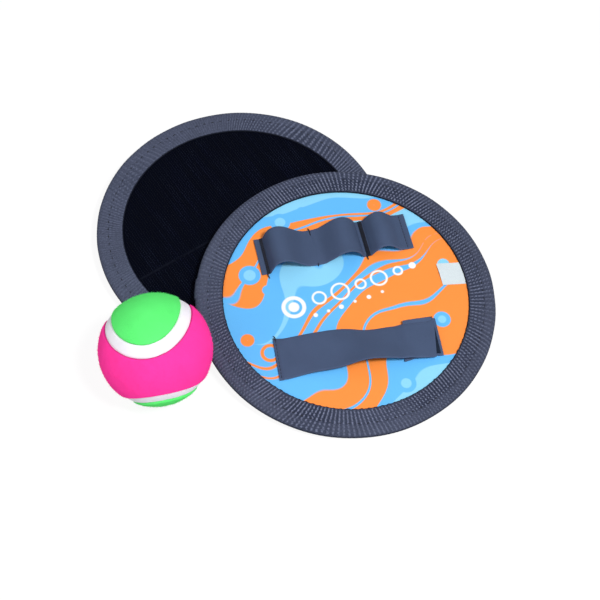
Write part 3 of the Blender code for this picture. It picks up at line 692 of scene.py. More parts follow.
def thread_material(name, face):
    """Twisted sewing thread."""
    made, nodes, shader = new_material(name, 0.6)
    tone = nodes.group(TONE, Vector=nodes.place(), Speckle_Scale=5200.0, Speckle=0.6)
    nodes.cover(shader, face, tone["Tone"], tone["Fuzz"], (0.5, 0.75), tone["Fuzz"], 0.6, 0.0001)
    return made


def felt_material(name, face, speckle, painted_glow, edge=1.0, sheen=0.25):
    """Brushed felt. glow is painted light: an emission of the felt's own colour, which lights it the same under any
    lamp. edge is the share of its colour left in a painted shade along the seam's groove.
    """
    made, nodes, shader = new_material(name, 0.95, 0.05, sheen)
    grain = {"Drift_Scale": 90.0, "Speckle_Scale": 1900.0, "Drift": 0.16, "Speckle": speckle}
    tone = nodes.group(TONE, Vector=nodes.place(), **grain)
    # Painted shade: within 0.7 mm of the seam the colour drops to the edge share, for the shade in the groove there.
    shade = nodes.times(tone["Tone"], nodes.ramp(nodes.axis(nodes.uv(), 0), 0.0001, 0.0007, edge, 1.0))
    nodes.cover(shader, face, shade, tone["Fuzz"], (0.88, 1.0), tone["Fuzz"], 0.7, 0.0005)
    nodes.put(shader["Sheen Tint"], face)
    # Painted light: the felt gives off its own colour as emission, the same under any lamp.
    nodes.put(shader["Emission Color"], shader["Base Color"].links[0].from_socket)
    shader["Emission Strength"].default_value = painted_glow
    return made


def plain_material(name, face, roughness, speckle_scale, depth):
    """Moulded board or rubber, faintly uneven."""
    made, nodes, shader = new_material(name, roughness)
    tone = nodes.group(TONE, Vector=nodes.place(), Speckle_Scale=speckle_scale)
    rough = roughness - 0.08, roughness + 0.08
    nodes.cover(shader, face, tone["Tone"], tone["Fuzz"], rough, tone["Fuzz"], 0.4, depth)
    return made


class Maker:
    """What the operators share."""

    bl_options = {"REGISTER", "UNDO"}

    def execute(self, context):
        self.make(context.scene)
        return {"FINISHED"}


class CATCHSET_OT_stage(Maker, bpy.types.Operator):
    """Make the floor, the lamps, the sky and the camera"""

    bl_idname = "catchset.stage"
    bl_label = "Stage"

    def make(self, scene):
        values = scene.catch_stage
        camera = bpy.data.objects.new("camera", bpy.data.cameras.new("camera"))
        camera.location = CAMERA_PLACE
        camera.rotation_euler = (CAMERA_TILT, 0.0, 0.0)
        camera.data.lens = values.focal_length
        camera.data.sensor_width = 36.0
        camera.data.clip_start = 0.01
        scene.collection.objects.link(camera)
        scene.camera = camera

        bm = bmesh.new()
        bmesh.ops.create_circle(bm, cap_ends=True, segments=96, radius=FLOOR_RADIUS)
        floor = bpy.data.objects.new("floor", to_mesh(bm, "floor"))
        scene.collection.objects.link(floor)
        floor.data.materials.append(self.floor_material(values))

        for name, share, size, place in (
            ("main_lamp", 1.0, 0.24, (0.44, -0.44, 1.10)),
            ("fill_lamp", 0.24, 0.9, (-0.80, -0.55, 0.80)),
        ):
            lamp = bpy.data.objects.new(name, bpy.data.lights.new(name, "AREA"))
            lamp.data.energy = values.key_power * share
            lamp.data.shape = "DISK"
            lamp.data.size = size
            lamp.location = place
            lamp.rotation_euler = (-Vector(place)).to_track_quat("-Z", "Y").to_euler()
            scene.collection.objects.link(lamp)

        sky = bpy.data.worlds.new("even_sky")
        scene.world = sky
        sky.use_nodes = True
        nodes = Nodes(sky.node_tree)
        background = sky.node_tree.nodes["Background"].inputs
        background["Color"].default_value = (1.0, 1.0, 1.0, 1.0)
        even = values.sky_strength
        nodes.put(background["Strength"], nodes.math("MULTIPLY_ADD", self.seen(nodes), 1.0 - even, even))
        scene.view_settings.view_transform = "Standard"

    def seen(self, nodes):
        """1 for rays from the camera and for the ones that it sees mirrored, else 0."""
        path = nodes.add("ShaderNodeLightPath").outputs
        either = nodes.math("MAXIMUM", path["Is Camera Ray"], path["Is Glossy Ray"])
        return nodes.math("MAXIMUM", either, path["Is Transmission Ray"])

    def floor_material(self, values):
        """White to the camera, with the object's soft shadow kept on it."""
        made, nodes, shader = new_material("pale_floor", 0.9, 0.0)
        face = nodes.mix(self.seen(nodes), values.floor, FLOOR_SEEN)
        tone = nodes.ramp(nodes.noise(nodes.place(), 60.0, 3.0), 0.0, 1.0, 0.99, 1.0)
        nodes.put(shader["Base Color"], nodes.tint(face, tone))
        nodes.put(shader["Emission Color"], (1.0, 1.0, 1.0))
        nodes.put(shader["Emission Strength"], nodes.times(self.seen(nodes), FLOOR_GLOW))
        return made


class CATCHSET_OT_cores(Maker, bpy.types.Operator):
    """Finish the boards inside the paddles and the ball's rubber core"""

    bl_idname = "catchset.cores"
    bl_label = "Boards and rubber core"

    def make(self, scene):
        board = plain_material("board_plastic", scene.catch_paddle.board, 0.55, 900.0, 0.0001)
        rubber = plain_material("ball_rubber", scene.catch_ball.rubber, 0.75, 1400.0, 0.0002)
        finishes = {prefix + "_core_board": board for prefix in PADDLES}
        finishes["ball_core"] = rubber
        for node, finish in finishes.items():
            solid = frame["nodes"][node]
            solid.data.materials.clear()
            solid.data.materials.append(finish)


class CATCHSET_OT_printed_backs(Maker, bpy.types.Operator):
    """Make the printed cloth on the back of each paddle"""

    bl_idname = "catchset.printed_backs"
    bl_label = "Printed backs"

    def make(self, scene):
        finish = self.print_material(scene.catch_print)
        rings, spokes = 46, 144
        for prefix in PADDLES:
            spoke = [(SKIN_RADIUS * i / rings, 0, BACK_Z) for i in range(rings + 1)]
            bm = spin_round(spoke, spokes, False)
            if sum(face.normal.z for face in bm.faces) < 0:
                bmesh.ops.reverse_faces(bm, faces=bm.faces)
            thicken(bm, raised(-PRINT_THICKNESS))
            mesh = to_mesh(bm, prefix + "_printed_back")
            points = mesh_points(mesh)
            flat = points[:, :2] / WINDOW_RADIUS
            set_uv(mesh, flat[:, 0], flat[:, 1])
            slack = 1.0 - smooth_step((np.hypot(*flat.T) - 0.80) / 0.22)
            points[:, 2] += slack * 0.05 * MM * bumps(points[:, :2], 0.022, 3)
            set_points(mesh, points)
            node = prefix + "_printed_back"
            piece = add_piece(prefix + "_printed_cloth", mesh, finish, [node], paddle_matrix(prefix))

    def print_material(self, values):
        """Wavy fields, stripes and dots, printed on a fine smooth weave."""
        made, nodes, shader = new_material("printed_cloth", 0.42, 0.35)
        uv = nodes.uv()
        shift = nodes.vector("SUBTRACT", nodes.noise(uv, 1.7, 0.0, output="Color"), (0.5, 0.5, 0.5))
        bent = nodes.vector("ADD", uv, nodes.vector("SCALE", shift, 0.75))
        hues = {"O": values.orange, "B": values.blue, "P": values.pale, "W": values.white}
        image = hues["O"]
        for hue, *numbers in PRINT_BANDS:
            given = dict(zip(BAND_INPUTS[1:], numbers))
            mask = nodes.group(BAND, Vector=bent, Turn=PRINT_TURN, **given)["Mask"]
            image = nodes.mix(mask, image, hues[hue])
        for hue, x, y, radius, *line in PRINT_DOTS:
            given = {"Centre": (x, y, 0), "Radius": radius, "Line": line[0] if line else radius}
            mask = nodes.group(RING, Vector=uv, **given)["Mask"]
            image = nodes.mix(mask, image, hues[hue])
        metres = nodes.vector("SCALE", uv, WINDOW_RADIUS)
        knit = nodes.group(KNIT, Vector=metres, Pitch_Along=0.0006, Pitch_Across=0.0006, Uneven=0.1)
        tone = nodes.group(TONE, Vector=nodes.place(), Drift_Scale=45.0, Drift=0.06, Speckle=0.08)
        shade = nodes.times(tone["Tone"], nodes.ramp(knit["Hollow"], 0.0, 1.0, 1.0, 0.93))
        nodes.cover(shader, image, shade, tone["Fuzz"], (0.36, 0.55), knit["Height"], 0.35, 0.00006)
        return made


class CATCHSET_OT_hook_tapes(Maker, bpy.types.Operator):
    """Make the hook tapes: woven ground and rows of nylon hooks"""

    bl_idname = "catchset.hook_tapes"
    bl_label = "Hook tapes"

    def make(self, scene):
        values = scene.catch_hooks
        ground = self.ground_material(values)
        nylon = self.nylon_material(values)
        for prefix in PADDLES:
            place = paddle_matrix(prefix)
            for label, side, bare in (("upper", 1, 1.2 * MM), ("lower", -1, 0.9 * MM)):
                node = f"{prefix}_hook_tape_{label}"
                hooks = self.hooks(node + "_hooks", values, side, bare, place, nylon)
                self.ground(node, side, place, ground, hooks)

    def ground_material(self, values):
        """Dark woven ground with a paler selvedge beside the join."""
        made, nodes, shader = knit_material(
            "hook_tape_ground", values.ground, values.ground * 0.4, (0.0011, 0.0008), 0.0003, 0.03
        )
        from_join = nodes.minus(nodes.axis(nodes.uv(), 0), TAPE_JOIN_OFFSET)
        above = nodes.math("GREATER_THAN", from_join, 0.0)
        strip = nodes.times(nodes.ramp(from_join, 0.0018, 0.0013), above)
        strip = nodes.times(strip, nodes.ramp(nodes.noise(nodes.uv(), 260.0), 0.35, 0.6, 0.1, 0.55))
        woven = shader["Base Color"].links[0].from_socket
        nodes.put(shader["Base Color"], nodes.mix(strip, woven, values.selvedge))
        return made

    def nylon_material(self, values):
        """Dark nylon whose tone runs in streaks along the rows of hooks."""
        made, nodes, shader = new_material("hook_nylon", 0.6, 0.14)
        streak = nodes.noise(nodes.vector("MULTIPLY", nodes.uv(), (1.0, 0.05, 1.0)), 300.0)
        tone = nodes.group(TONE, Vector=nodes.place(), Speckle_Scale=5200.0, Speckle=0.6)
        shade = nodes.times(tone["Tone"], nodes.ramp(streak, 0.40, 0.64, 0.2, 3.0))
        shade = nodes.times(shade, nodes.ramp(nodes.noise(nodes.uv(), 28.0, 1.0), 0.38, 0.62, 0.6, 1.5))
        patch = nodes.ramp(nodes.noise(nodes.uv(), 55.0), 0.40, 0.62)
        blue = nodes.mix(patch, values.hook, values.hook_worn)
        nodes.cover(shader, blue, shade, tone["Fuzz"], (0.5, 0.75), tone["Fuzz"], 0.6, 0.0001)
        return made

    def ground(self, node, side, place, finish, hooks):
        """The woven half disc under one field of hooks."""
        bm = bmesh.new()
        bmesh.ops.create_circle(bm, cap_ends=True, segments=144, radius=SKIN_RADIUS)
        bmesh.ops.translate(bm, verts=bm.verts, vec=(0, 0, HOOK_BASE_Z))
        bmesh.ops.bisect_plane(
            bm,
            geom=bm.verts[:] + bm.edges[:] + bm.faces[:],
            plane_co=(*(ACROSS_JOIN * (TAPE_JOIN_OFFSET + side * 0.15 * MM)), 0),
            plane_no=(*(ACROSS_JOIN * side), 0),
            clear_inner=True,
        )
        thicken(bm, raised(HOOK_TAPE_THICKNESS))
        mesh = to_mesh(bm, node + "_ground")
        flat = mesh_points(mesh)[:, :2]
        set_uv(mesh, flat @ ACROSS_JOIN, flat @ ALONG_JOIN)
        piece = add_piece(node + "_ground", mesh, finish, [node], place)

    def hooks(self, name, values, side, bare, place, finish):
        """Rows of bent nylon hooks that stand on the ground and lean both ways in turn."""
        rise, r = values.hook_height, values.monofilament / 2
        bm = bmesh.new()
        bend = ((0.0, -0.1), (-0.04, 0.55), (0.12, 0.90), (0.42, 0.88), (0.50, 0.58))
        add_tube(bm, [(x * rise, 0, z * rise) for x, z in bend], [r * 1.1, r, r, r, r * 0.8], 3)
        rows = int(2 * WINDOW_RADIUS / values.row_pitch) + 2
        stands = int(2 * WINDOW_RADIUS / values.hook_pitch) + 2
        row, stand = np.meshgrid(np.arange(rows) - rows // 2, np.arange(stands) - stands // 2, indexing="ij")
        draw = np.random.default_rng(11)
        a = (row + draw.normal(0, 0.07, row.shape)) * values.row_pitch
        b = (stand + 0.5 * (row % 2) + draw.normal(0, 0.09, row.shape)) * values.hook_pitch
        turn = draw.normal(0, 0.22, row.shape) + math.pi * (row % 2)
        size = draw.uniform(0.88, 1.04, row.shape)
        lean = draw.normal(0, 0.10, (*row.shape, 2))
        spots = a[..., None] * ALONG_JOIN + b[..., None] * ACROSS_JOIN
        keep = np.hypot(spots[..., 0], spots[..., 1]) < WINDOW_RADIUS - 0.9 * MM
        keep &= side * (spots @ ACROSS_JOIN - TAPE_JOIN_OFFSET) > bare
        spots, turn, size, lean = spots[keep], turn[keep], size[keep], lean[keep]
        origins = np.concatenate([spots, np.full((len(spots), 1), HOOK_BASE_Z)], axis=1)
        heading = np.cos(turn)[:, None] * ACROSS_JOIN + np.sin(turn)[:, None] * ALONG_JOIN
        ahead = np.concatenate([heading, np.zeros((len(spots), 1))], axis=1)
        up = np.concatenate([lean, -np.ones((len(spots), 1))], axis=1)
        scale = np.stack([size, np.ones(len(size)), size], axis=1)
        mesh = repeat_shape(bm, place_array(origins, ahead, up, scale), name)
        flat = mesh_points(mesh)[:, :2]
        set_uv(mesh, flat @ ALONG_JOIN, flat @ ACROSS_JOIN)
        return add_piece(name, mesh, finish, (), place, None)


class CATCHSET_OT_edge_bindings(Maker, bpy.types.Operator):
    """Make the ribbed tape that is folded over each paddle's edge, with its seam"""

    bl_idname = "catchset.edge_bindings"
    bl_label = "Edge bindings"

    def make(self, scene):
        values = scene.catch_paddle
        thread = thread_material("binding_thread", values.binding_shade * 0.4)
        for prefix, contrast, seed in (("rear", 0.55, 8), ("front", 1.0, 5)):
            finish = self.tape_material(values, prefix, contrast)
            place = paddle_matrix(prefix)
            seam = self.seam(prefix + "_binding_seam", values, place, thread)
            mesh = self.tape(values, seed, prefix)
            node = prefix + "_edge_binding"
            piece = add_piece(prefix + "_binding_tape", mesh, finish, [node], place, None)

    def tape_material(self, values, prefix, contrast):
        """Slanting rows of light threads over dark gaps, uneven round the tape, with painted shade at the hems and
        along the rim's fold.
        """
        made, nodes, shader = new_material(prefix + "_binding_tape", 0.85, 0.12)
        uv, place = nodes.uv(), nodes.place()
        width, aside = nodes.axis(uv, 1), nodes.axis(place, 0)
        from_hem = nodes.math("MINIMUM", width, nodes.minus(TAPE_WIDTH, width))
        from_rim = nodes.math("ABSOLUTE", nodes.minus(width, TAPE_WIDTH / 2))
        hold = nodes.ramp(nodes.noise(place, 46.0), 0.38, 0.62, 0.40, 0.70)
        knit = nodes.group(KNIT, Vector=uv, Pitch_Along=RIB_PITCH, Pitch_Across=0.0022, Uneven=1.3, Ribs=hold)
        tone = nodes.group(TONE, Vector=place, Drift_Scale=60.0, Speckle_Scale=1000.0, Drift=0.30, Speckle=1.5)
        strength = nodes.ramp(nodes.noise(place, 15.0, 1.0), 0.42, 0.58, 0.7 * contrast, 1.25 * contrast)
        for value, *ends in (
            (from_hem, 0.0086, 0.0110, 1.0, 0.55),
            (aside, 0.05, 0.12, 1.0, 0.6),
            (aside, -0.055, -0.030, 0.45, 1.0),
        ):
            strength = nodes.times(strength, nodes.ramp(value, *ends))
        gap = nodes.minus(nodes.ramp(knit["Height"], 0.92, 0.42), MEAN_GAP)
        dark = nodes.math("MULTIPLY_ADD", gap, strength, MEAN_GAP)
        # Painted shade: the tape takes its groove colour within about 1 mm of each hem and 2 mm of the rim's fold,
        # where shade falls.
        for value, low, high in ((from_hem, 0.0012, 0.0004), (from_rim, 0.0021, 0.0009)):
            dark = nodes.math("MAXIMUM", dark, nodes.ramp(value, low, high))
        base = nodes.mix(dark, values.binding, values.binding_shade)
        # Painted shade: the hem's own edge is darkened further, to 35 percent of its colour.
        base = nodes.tint(base, nodes.ramp(from_hem, 0.0007, 0.0002, 1.0, 0.35))
        base = nodes.tint(base, nodes.ramp(aside, 0.05, 0.12, 1.0, 0.88))
        height = nodes.math("MULTIPLY_ADD", tone["Fuzz"], 0.35, knit["Height"])
        nodes.cover(shader, base, tone["Tone"], tone["Fuzz"], (0.74, 0.94), height, 0.8, 0.00022)
        return made

    def section(self, values):
        """The folded tape's outline as (radius, height) points, from the printed side's hem on."""
        top, seam = HALF_THICKNESS, values.stitch_radius
        side = [(WINDOW_RADIUS, top - 0.55 * MM), (0.07362, top - 0.20 * MM), (0.0739, top - 0.03 * MM)]
        side += [(0.0745 + i * MM, top) for i in range(7)]
        for step, dip in ((-0.9, 0.0), (-0.45, 0.03), (0.0, 0.07), (0.45, 0.03), (0.9, 0.0)):
            side.append((seam + step * MM, top - dip * MM))
        side += [(0.0843 + i * MM, top) for i in range(3)]
        arc = []
        for turn in (math.pi / 2 - math.pi * step / 10 for step in range(11)):
            arc.append((RIM_CENTRE_RADIUS + top * math.cos(turn), top * math.sin(turn)))
        inner = top - BINDING_THICKNESS
        back = [(WINDOW_RADIUS, -inner), (0.080, -inner)]
        for turn in (math.pi * step / 4 - math.pi / 2 for step in range(5)):
            back.append((RIM_CENTRE_RADIUS + inner * math.cos(turn), inner * math.sin(turn)))
        back += [(0.080, inner), (WINDOW_RADIUS, inner)]
        return side + arc + [(r, -z) for r, z in reversed(side)] + back

    def tape(self, values, seed, prefix):
        """The folded tape's mesh: slanting ribs, a dimpled seam line, a lap and a scalloped hem."""
        bm = spin_round([(r, 0, z) for r, z in self.section(values)], 4 * values.rib_count, True)
        mesh = to_mesh(bm, prefix + "_binding_tape")
        points = mesh_points(mesh)
        radius = np.hypot(points[:, 0], points[:, 1])
        angle = np.arctan2(points[:, 1], points[:, 0]) % math.tau
        z = points[:, 2]
        beyond = np.maximum(radius - RIM_CENTRE_RADIUS, 0.0)
        skin = np.hypot(beyond, z) > HALF_THICKNESS - 0.6 * BINDING_THICKNESS
        spoke = np.stack([np.cos(angle), np.sin(angle)], axis=1)
        out = np.column_stack([spoke * beyond[:, None], z])
        out /= np.linalg.norm(out, axis=1, keepdims=True)

        flat = RIM_CENTRE_RADIUS - WINDOW_RADIUS
        width = np.where(z > 0, radius - WINDOW_RADIUS, flat + math.pi * HALF_THICKNESS + RIM_CENTRE_RADIUS - radius)
        width = np.where(beyond > 0, flat + np.arctan2(beyond, z) * HALF_THICKNESS, width)
        mean_radius = values.rib_count * RIB_PITCH / math.tau
        slant = 0.05 - 0.30 * np.cos(4 * angle - 5.35 + seed)
        along = angle * mean_radius + slant * width
        rib = np.sin(along / RIB_PITCH * math.tau)
        uneven = 0.75 + 0.35 * bumps(spoke, 0.55, seed)
        on_rim = smooth_step(beyond / (1.5 * MM))
        lift = values.rib_depth * rib * uneven * (1.0 - 0.7 * on_rim)
        reach = radius - values.stitch_radius
        stitch = np.cos(angle * round(math.tau * values.stitch_radius / values.stitch_pitch))
        lift -= 0.22 * MM * np.exp(-((reach / (0.5 * MM)) ** 2)) * smooth_step(-stitch * 1.6 - 0.2)
        lift += 0.10 * MM * bumps(np.column_stack([spoke * 0.09, z]), 0.03, seed + 1)
        turn = (angle - LAP_ANGLE + math.pi) % math.tau - math.pi
        half_lap = LAP_LENGTH / 2 / RIM_CENTRE_RADIUS
        lap = smooth_step((half_lap - np.abs(turn)) / 0.006 + 0.5)
        lift += LAP_RISE * lap
        hem = np.exp(-((radius - WINDOW_RADIUS) / (0.35 * MM)) ** 2)
        points += out * (lift * skin)[:, None]
        scallop = hem * skin * (0.26 * np.sin(along / RIB_PITCH * math.pi) + 0.16 * bumps(spoke, 0.08, seed + 2)) * MM
        points[:, :2] -= spoke * scallop[:, None]
        set_points(mesh, points)
        set_uv(mesh, along, width, math.tau * mean_radius)
        return mesh

    def seam(self, name, values, place, finish):
        """One round of lockstitch on each side of the tape."""
        count = round(math.tau * values.stitch_radius / values.stitch_pitch)
        pitch = math.tau * values.stitch_radius / count
        angle = np.arange(count) * math.tau / count
        spoke = np.stack([np.cos(angle), np.sin(angle), np.zeros(count)], axis=1)
        ahead = np.stack([-np.sin(angle), np.cos(angle), np.zeros(count)], axis=1)
        turn = np.abs((angle - LAP_ANGLE + math.pi) % math.tau - math.pi)
        lap = LAP_RISE * (turn < LAP_LENGTH / 2 / RIM_CENTRE_RADIUS)
        parts = []
        for side in (1, -1):
            up = np.tile([0.0, 0.0, float(side)], (count, 1))
            origins = spoke * values.stitch_radius + up * (HALF_THICKNESS - 0.14 * MM + lap)[:, None]
            parts.append(place_array(origins, ahead, up))
        mesh = repeat_shape(stitch_seed(0.34 * pitch, values.thread), np.concatenate(parts), name)
        return add_piece(name, mesh, finish, (), place, None)


class Strap:
    """A flat elastic strap as a closed slab over a grid of rows across and stations along."""

    EDGES = np.array([-1, -0.985, -0.94, -0.84, -0.68, -0.5, -0.3, -0.1, 0.1, 0.3, 0.5, 0.68, 0.84, 0.94, 0.985, 1])

    def __init__(self, offset, skew, width):
        self.place = np.array(Matrix.Translation((0, offset, BACK_Z)) @ Matrix.Rotation(skew, 4, "Z"))
        self.width = width
        self.across = self.EDGES * width / 2

    def put(self, points):
        """Points of the strap's own frame in the paddle's frame."""
        return np.asarray(points) @ self.place[:3, :3].T + self.place[:3, 3]

    def set_rows(self, rows):
        """rows holds, for each station across, its (x, y, height) points along the strap's middle."""
        self.middle = np.array(rows)
        flat = self.middle[..., [0, 2]]
        ahead = np.gradient(flat, axis=1)
        ahead /= np.linalg.norm(ahead, axis=2, keepdims=True)
        self.normal = np.stack([-ahead[..., 1], np.zeros(ahead.shape[:2]), ahead[..., 0]], axis=2)
        steps = np.linalg.norm(np.diff(flat[len(rows) // 2], axis=0), axis=1)
        self.along = np.concatenate([[0.0], np.cumsum(steps)])

    def slab(self, name, thickness, press):
        """The strap's mesh. press gives the share of the thickness left at each place along it."""
        stations, count = self.middle.shape[:2]
        bm = grid_sheet(count - 1, stations - 1, lambda i, j: (i, j, 1))
        thicken(bm, lambda point: (point.x, point.y, -1))
        mesh = to_mesh(bm, name)
        i, j, side = np.round(mesh_points(mesh)).astype(int).T
        lens = np.sqrt(np.clip(1.0 - (np.abs(self.EDGES) - 0.90).clip(0) ** 2 / 0.0106, 0.06, 1.0))
        half = thickness / 2 * press[i] * lens[j]
        points = self.middle[j, i] + self.normal[j, i] * (half * side)[:, None]
        points[:, 2] -= (1.0 - press[i]) * thickness / 2
        rough = bumps(np.stack([self.along[i], self.across[j]], axis=1), 0.006, 21)
        points += self.normal[j, i] * (rough * side * 0.02 * MM)[:, None]
        set_points(mesh, self.put(points))
        set_uv(mesh, self.along[i], self.across[j] + (side < 0) * 2 * self.width)
        flip = bmesh.new()
        flip.from_mesh(mesh)
        bmesh.ops.recalc_face_normals(flip, faces=flip.faces)
        flip.to_mesh(mesh)
        flip.free()
        return mesh

    def stitch_places(self, station, pitch, lift):
        """Places of a row of stitches straight across the strap at a station along it."""
        count = int(self.width / pitch)
        ys = (np.arange(count) - (count - 1) / 2) * pitch
        j = np.searchsorted(self.across, ys)
        share = ((ys - self.across[j - 1]) / (self.across[j] - self.across[j - 1]))[:, None]
        middle, normal = (
            part[j - 1, station] * (1 - share) + part[j, station] * share for part in (self.middle, self.normal)
        )
        turn = self.place[:3, :3].T
        return place_array(self.put(middle + normal * lift), np.tile(turn[1], (count, 1)), normal @ turn)

    def thread_end(self, station, end, reach, drift, inside):
        """A short thread end that leaves the strap at one end of a row of stitches, in millimetres."""
        j = -1 if end > 0 else 0
        edge, normal = self.middle[j, station], self.normal[j, station]
        out = np.array([0.0, float(end), 0.0])
        low = 0.25 * MM - edge[2]
        lean = np.array([drift * MM, 0.0, 0.0])
        path = [edge - out * inside * MM + normal * 0.55 * MM, edge - out * 0.3 * MM + normal * 0.72 * MM]
        for share in (0.25, 0.6, 1.0):
            bend = lean * share**2 + np.array([0.0, 0.0, low * share * 0.8 + 0.3 * MM])
            path.append(edge + out * reach * MM * share + bend)
        return [Vector(point) for point in self.put(path)]


def floor_room(place, prefix):
    """Height between a paddle's back and the floor at a place on it, for the paddle that lies on it."""

    def room(points):
        if prefix != "rear":
            return np.full(len(points), 1.0)
        rows = np.array(place)
        return (points[:, :2] @ rows[2, :2] + BACK_Z * rows[2, 2] + rows[2, 3]) / -rows[2, 2]

    return room


def soft_minimum(value, limit, blend):
    """The smaller of two heights, with a rounded change from one to the other."""
    share = np.clip(0.5 + 0.5 * (limit - value) / blend, 0.0, 1.0)
    return limit + (value - limit) * share - blend * share * (1.0 - share)


def even_path(points, count):
    """A path with the given number of even steps, with its corners eased."""
    points = np.asarray(points, float)
    reach = np.concatenate([[0.0], np.cumsum(np.linalg.norm(np.diff(points, axis=0), axis=1))])
    spots = np.linspace(0, reach[-1], count + 1)
    path = np.stack([np.interp(spots, reach, points[:, k]) for k in range(points.shape[1])], axis=1)
    for _ in range(2):
        path[1:-1] = (path[:-2] + 2 * path[1:-1] + path[2:]) / 4
    return path


class CATCHSET_OT_finger_straps(Maker, bpy.types.Operator):
    """Make the finger straps with their three sewn loops"""

    bl_idname = "catchset.finger_straps"
    bl_label = "Finger straps"

    def make(self, scene):
        values = scene.catch_strap
        finish = strap_material(values)
        thread = thread_material("strap_thread", values.thread)
        for prefix in PADDLES:
            place = paddle_matrix(prefix)
            strap = Strap(FINGER_STRAP_OFFSET, FINGER_STRAP_SKEW, values.width)
            free, seams = self.free_path(values.thickness)
            room = floor_room(place, prefix)
            count = 280
            rows = []
            low = 0.10 * MM + values.thickness / 2
            for y in strap.across:
                spots = strap.put(np.stack([free[:, 0], np.full(len(free), y), free[:, 1] * 0], axis=1))
                limit = room(spots) - values.thickness / 2 - 0.15 * MM
                height = np.maximum(soft_minimum(free[:, 1], limit, values.thickness), low)
                path = even_path(np.stack([free[:, 0], height], axis=1), count)
                rows.append(np.stack([path[:, 0], np.full(len(path), y), path[:, 1]], axis=1))
            strap.set_rows(rows)
            middle = strap.middle[len(rows) // 2, :, 0]
            press = np.ones(count + 1)
            stations = []
            for x, depth in zip(seams, (0.45, 0.12, 0.45, SEWN_DEPTH)):
                press -= depth * hump(middle, x, SEWN_SPREAD)
                stations.append(int(np.argmin(np.abs(middle - x))))
            mesh = strap.slab(prefix + "_finger_strap_elastic", values.thickness, np.clip(press, 0.5, 1))
            # Rows 0 and 2 are bar tacks of six lines of dark thread side by side; their dark band also stands for the
            # shade in the crease at each loop's foot, so it is partly stitching and partly painted shade.
            places = []
            for i, pitch, lifts in (
                # row of stitches, pitch and the lift of each line of thread in millimetres
                (0, 1.3, (0.14, 0.2, 0.36, 0.48, 0.54, 0.56)),
                (2, 1.3, (0.14, 0.2, 0.36, 0.48, 0.54, 0.56)),
                (1, 2.1, (-0.24,)),
                (3, 2.1, (0.10,)),
            ):
                for step, lift in enumerate(lifts):
                    places.append(strap.stitch_places(stations[i] + step, pitch * MM, lift * MM))
            seam = sew(prefix + "_finger_strap_seams", places, thread, place)
            ends = ((0, -1, 3.2, 0.6, 1.0), (1, 1, 1.6, -0.6, 4.0), (1, -1, 0.8, 0.2, 0.8), (2, -1, 2.4, 0.2, 1.0))
            paths = [strap.thread_end(stations[i], *ends_of) for i, *ends_of in ends]
            tails = trim(prefix + "_finger_strap_thread_ends", paths, thread, place)
            name, node = prefix + "_finger_strap_elastic", prefix + "_finger_strap"
            piece = add_piece(name, mesh, finish, [node], place, SOFT_ANGLE)

    def free_path(self, thickness):
        """The strap's middle line as it bulges freely, and the places of its rows of stitches."""
        flat = 0.10 * MM + thickness / 2
        total = END_TAB + sum(lead + span for lead, span, *_ in FINGER_LOOPS)
        x = -total / 2
        path = [(x, flat)]
        seams = [x + 0.6 * END_TAB]
        for order, (lead, span, height, peak, steep_left) in enumerate(FINGER_LOOPS):
            if order:
                seams.append(x + lead / 2)
            x += lead
            path.append((x, flat))
            power = math.log(0.5) / math.log(peak)
            share = (np.arange(1, 60) / 60) ** 1.5
            rise = np.sin(math.pi * share**power) ** (1.0 + share)
            foot = FOOT_LEAN * hump(rise, 0.42, 0.34) * (share**power < 0.5)
            aside = span * share - foot if steep_left else span * (1.0 - share)
            points = np.stack([x + aside, flat + (height - flat) * rise], axis=1)
            path += [tuple(point) for point in (points if steep_left else points[::-1])]
            x += span
            path.append((x, flat))
        seams.append(x + 0.4 * END_TAB)
        path.append((x + END_TAB, flat))
        return even_path(path, 560), seams


def strap_material(values):
    """Fine knitted elastic."""
    name = "fine_knitted_elastic"
    if name in bpy.data.materials:
        return bpy.data.materials[name]
    hues = values.strap, values.strap_shade
    made, nodes, shader = knit_material(name, *hues, (0.0007, 0.0009), 0.00012, 0.12, 0.30)
    across = nodes.math("ABSOLUTE", nodes.axis(nodes.uv(), 1))
    edge = nodes.ramp(across, values.width * 0.468, values.width * 0.492, 1.0, 1.18)
    knitted = shader["Base Color"].links[0].from_socket
    nodes.put(shader["Base Color"], nodes.tint(knitted, edge))
    return made


def sew(name, places, thread, place):
    """All the given rows of stitches as one piece."""
    mesh = repeat_shape(stitch_seed(STITCH_PITCH, STRAP_THREAD), np.concatenate(places), name)
    return add_piece(name, mesh, thread, (), place, None)


def trim(name, paths, thread, place):
    """The clipped thread ends that stick out beside the rows of stitches."""
    bm = bmesh.new()
    for path in paths:
        add_tube(bm, path, [0.34 * MM] * (len(path) - 1) + [0.16 * MM], 5)
    return add_piece(name, to_mesh(bm, name), thread, (), place, None)


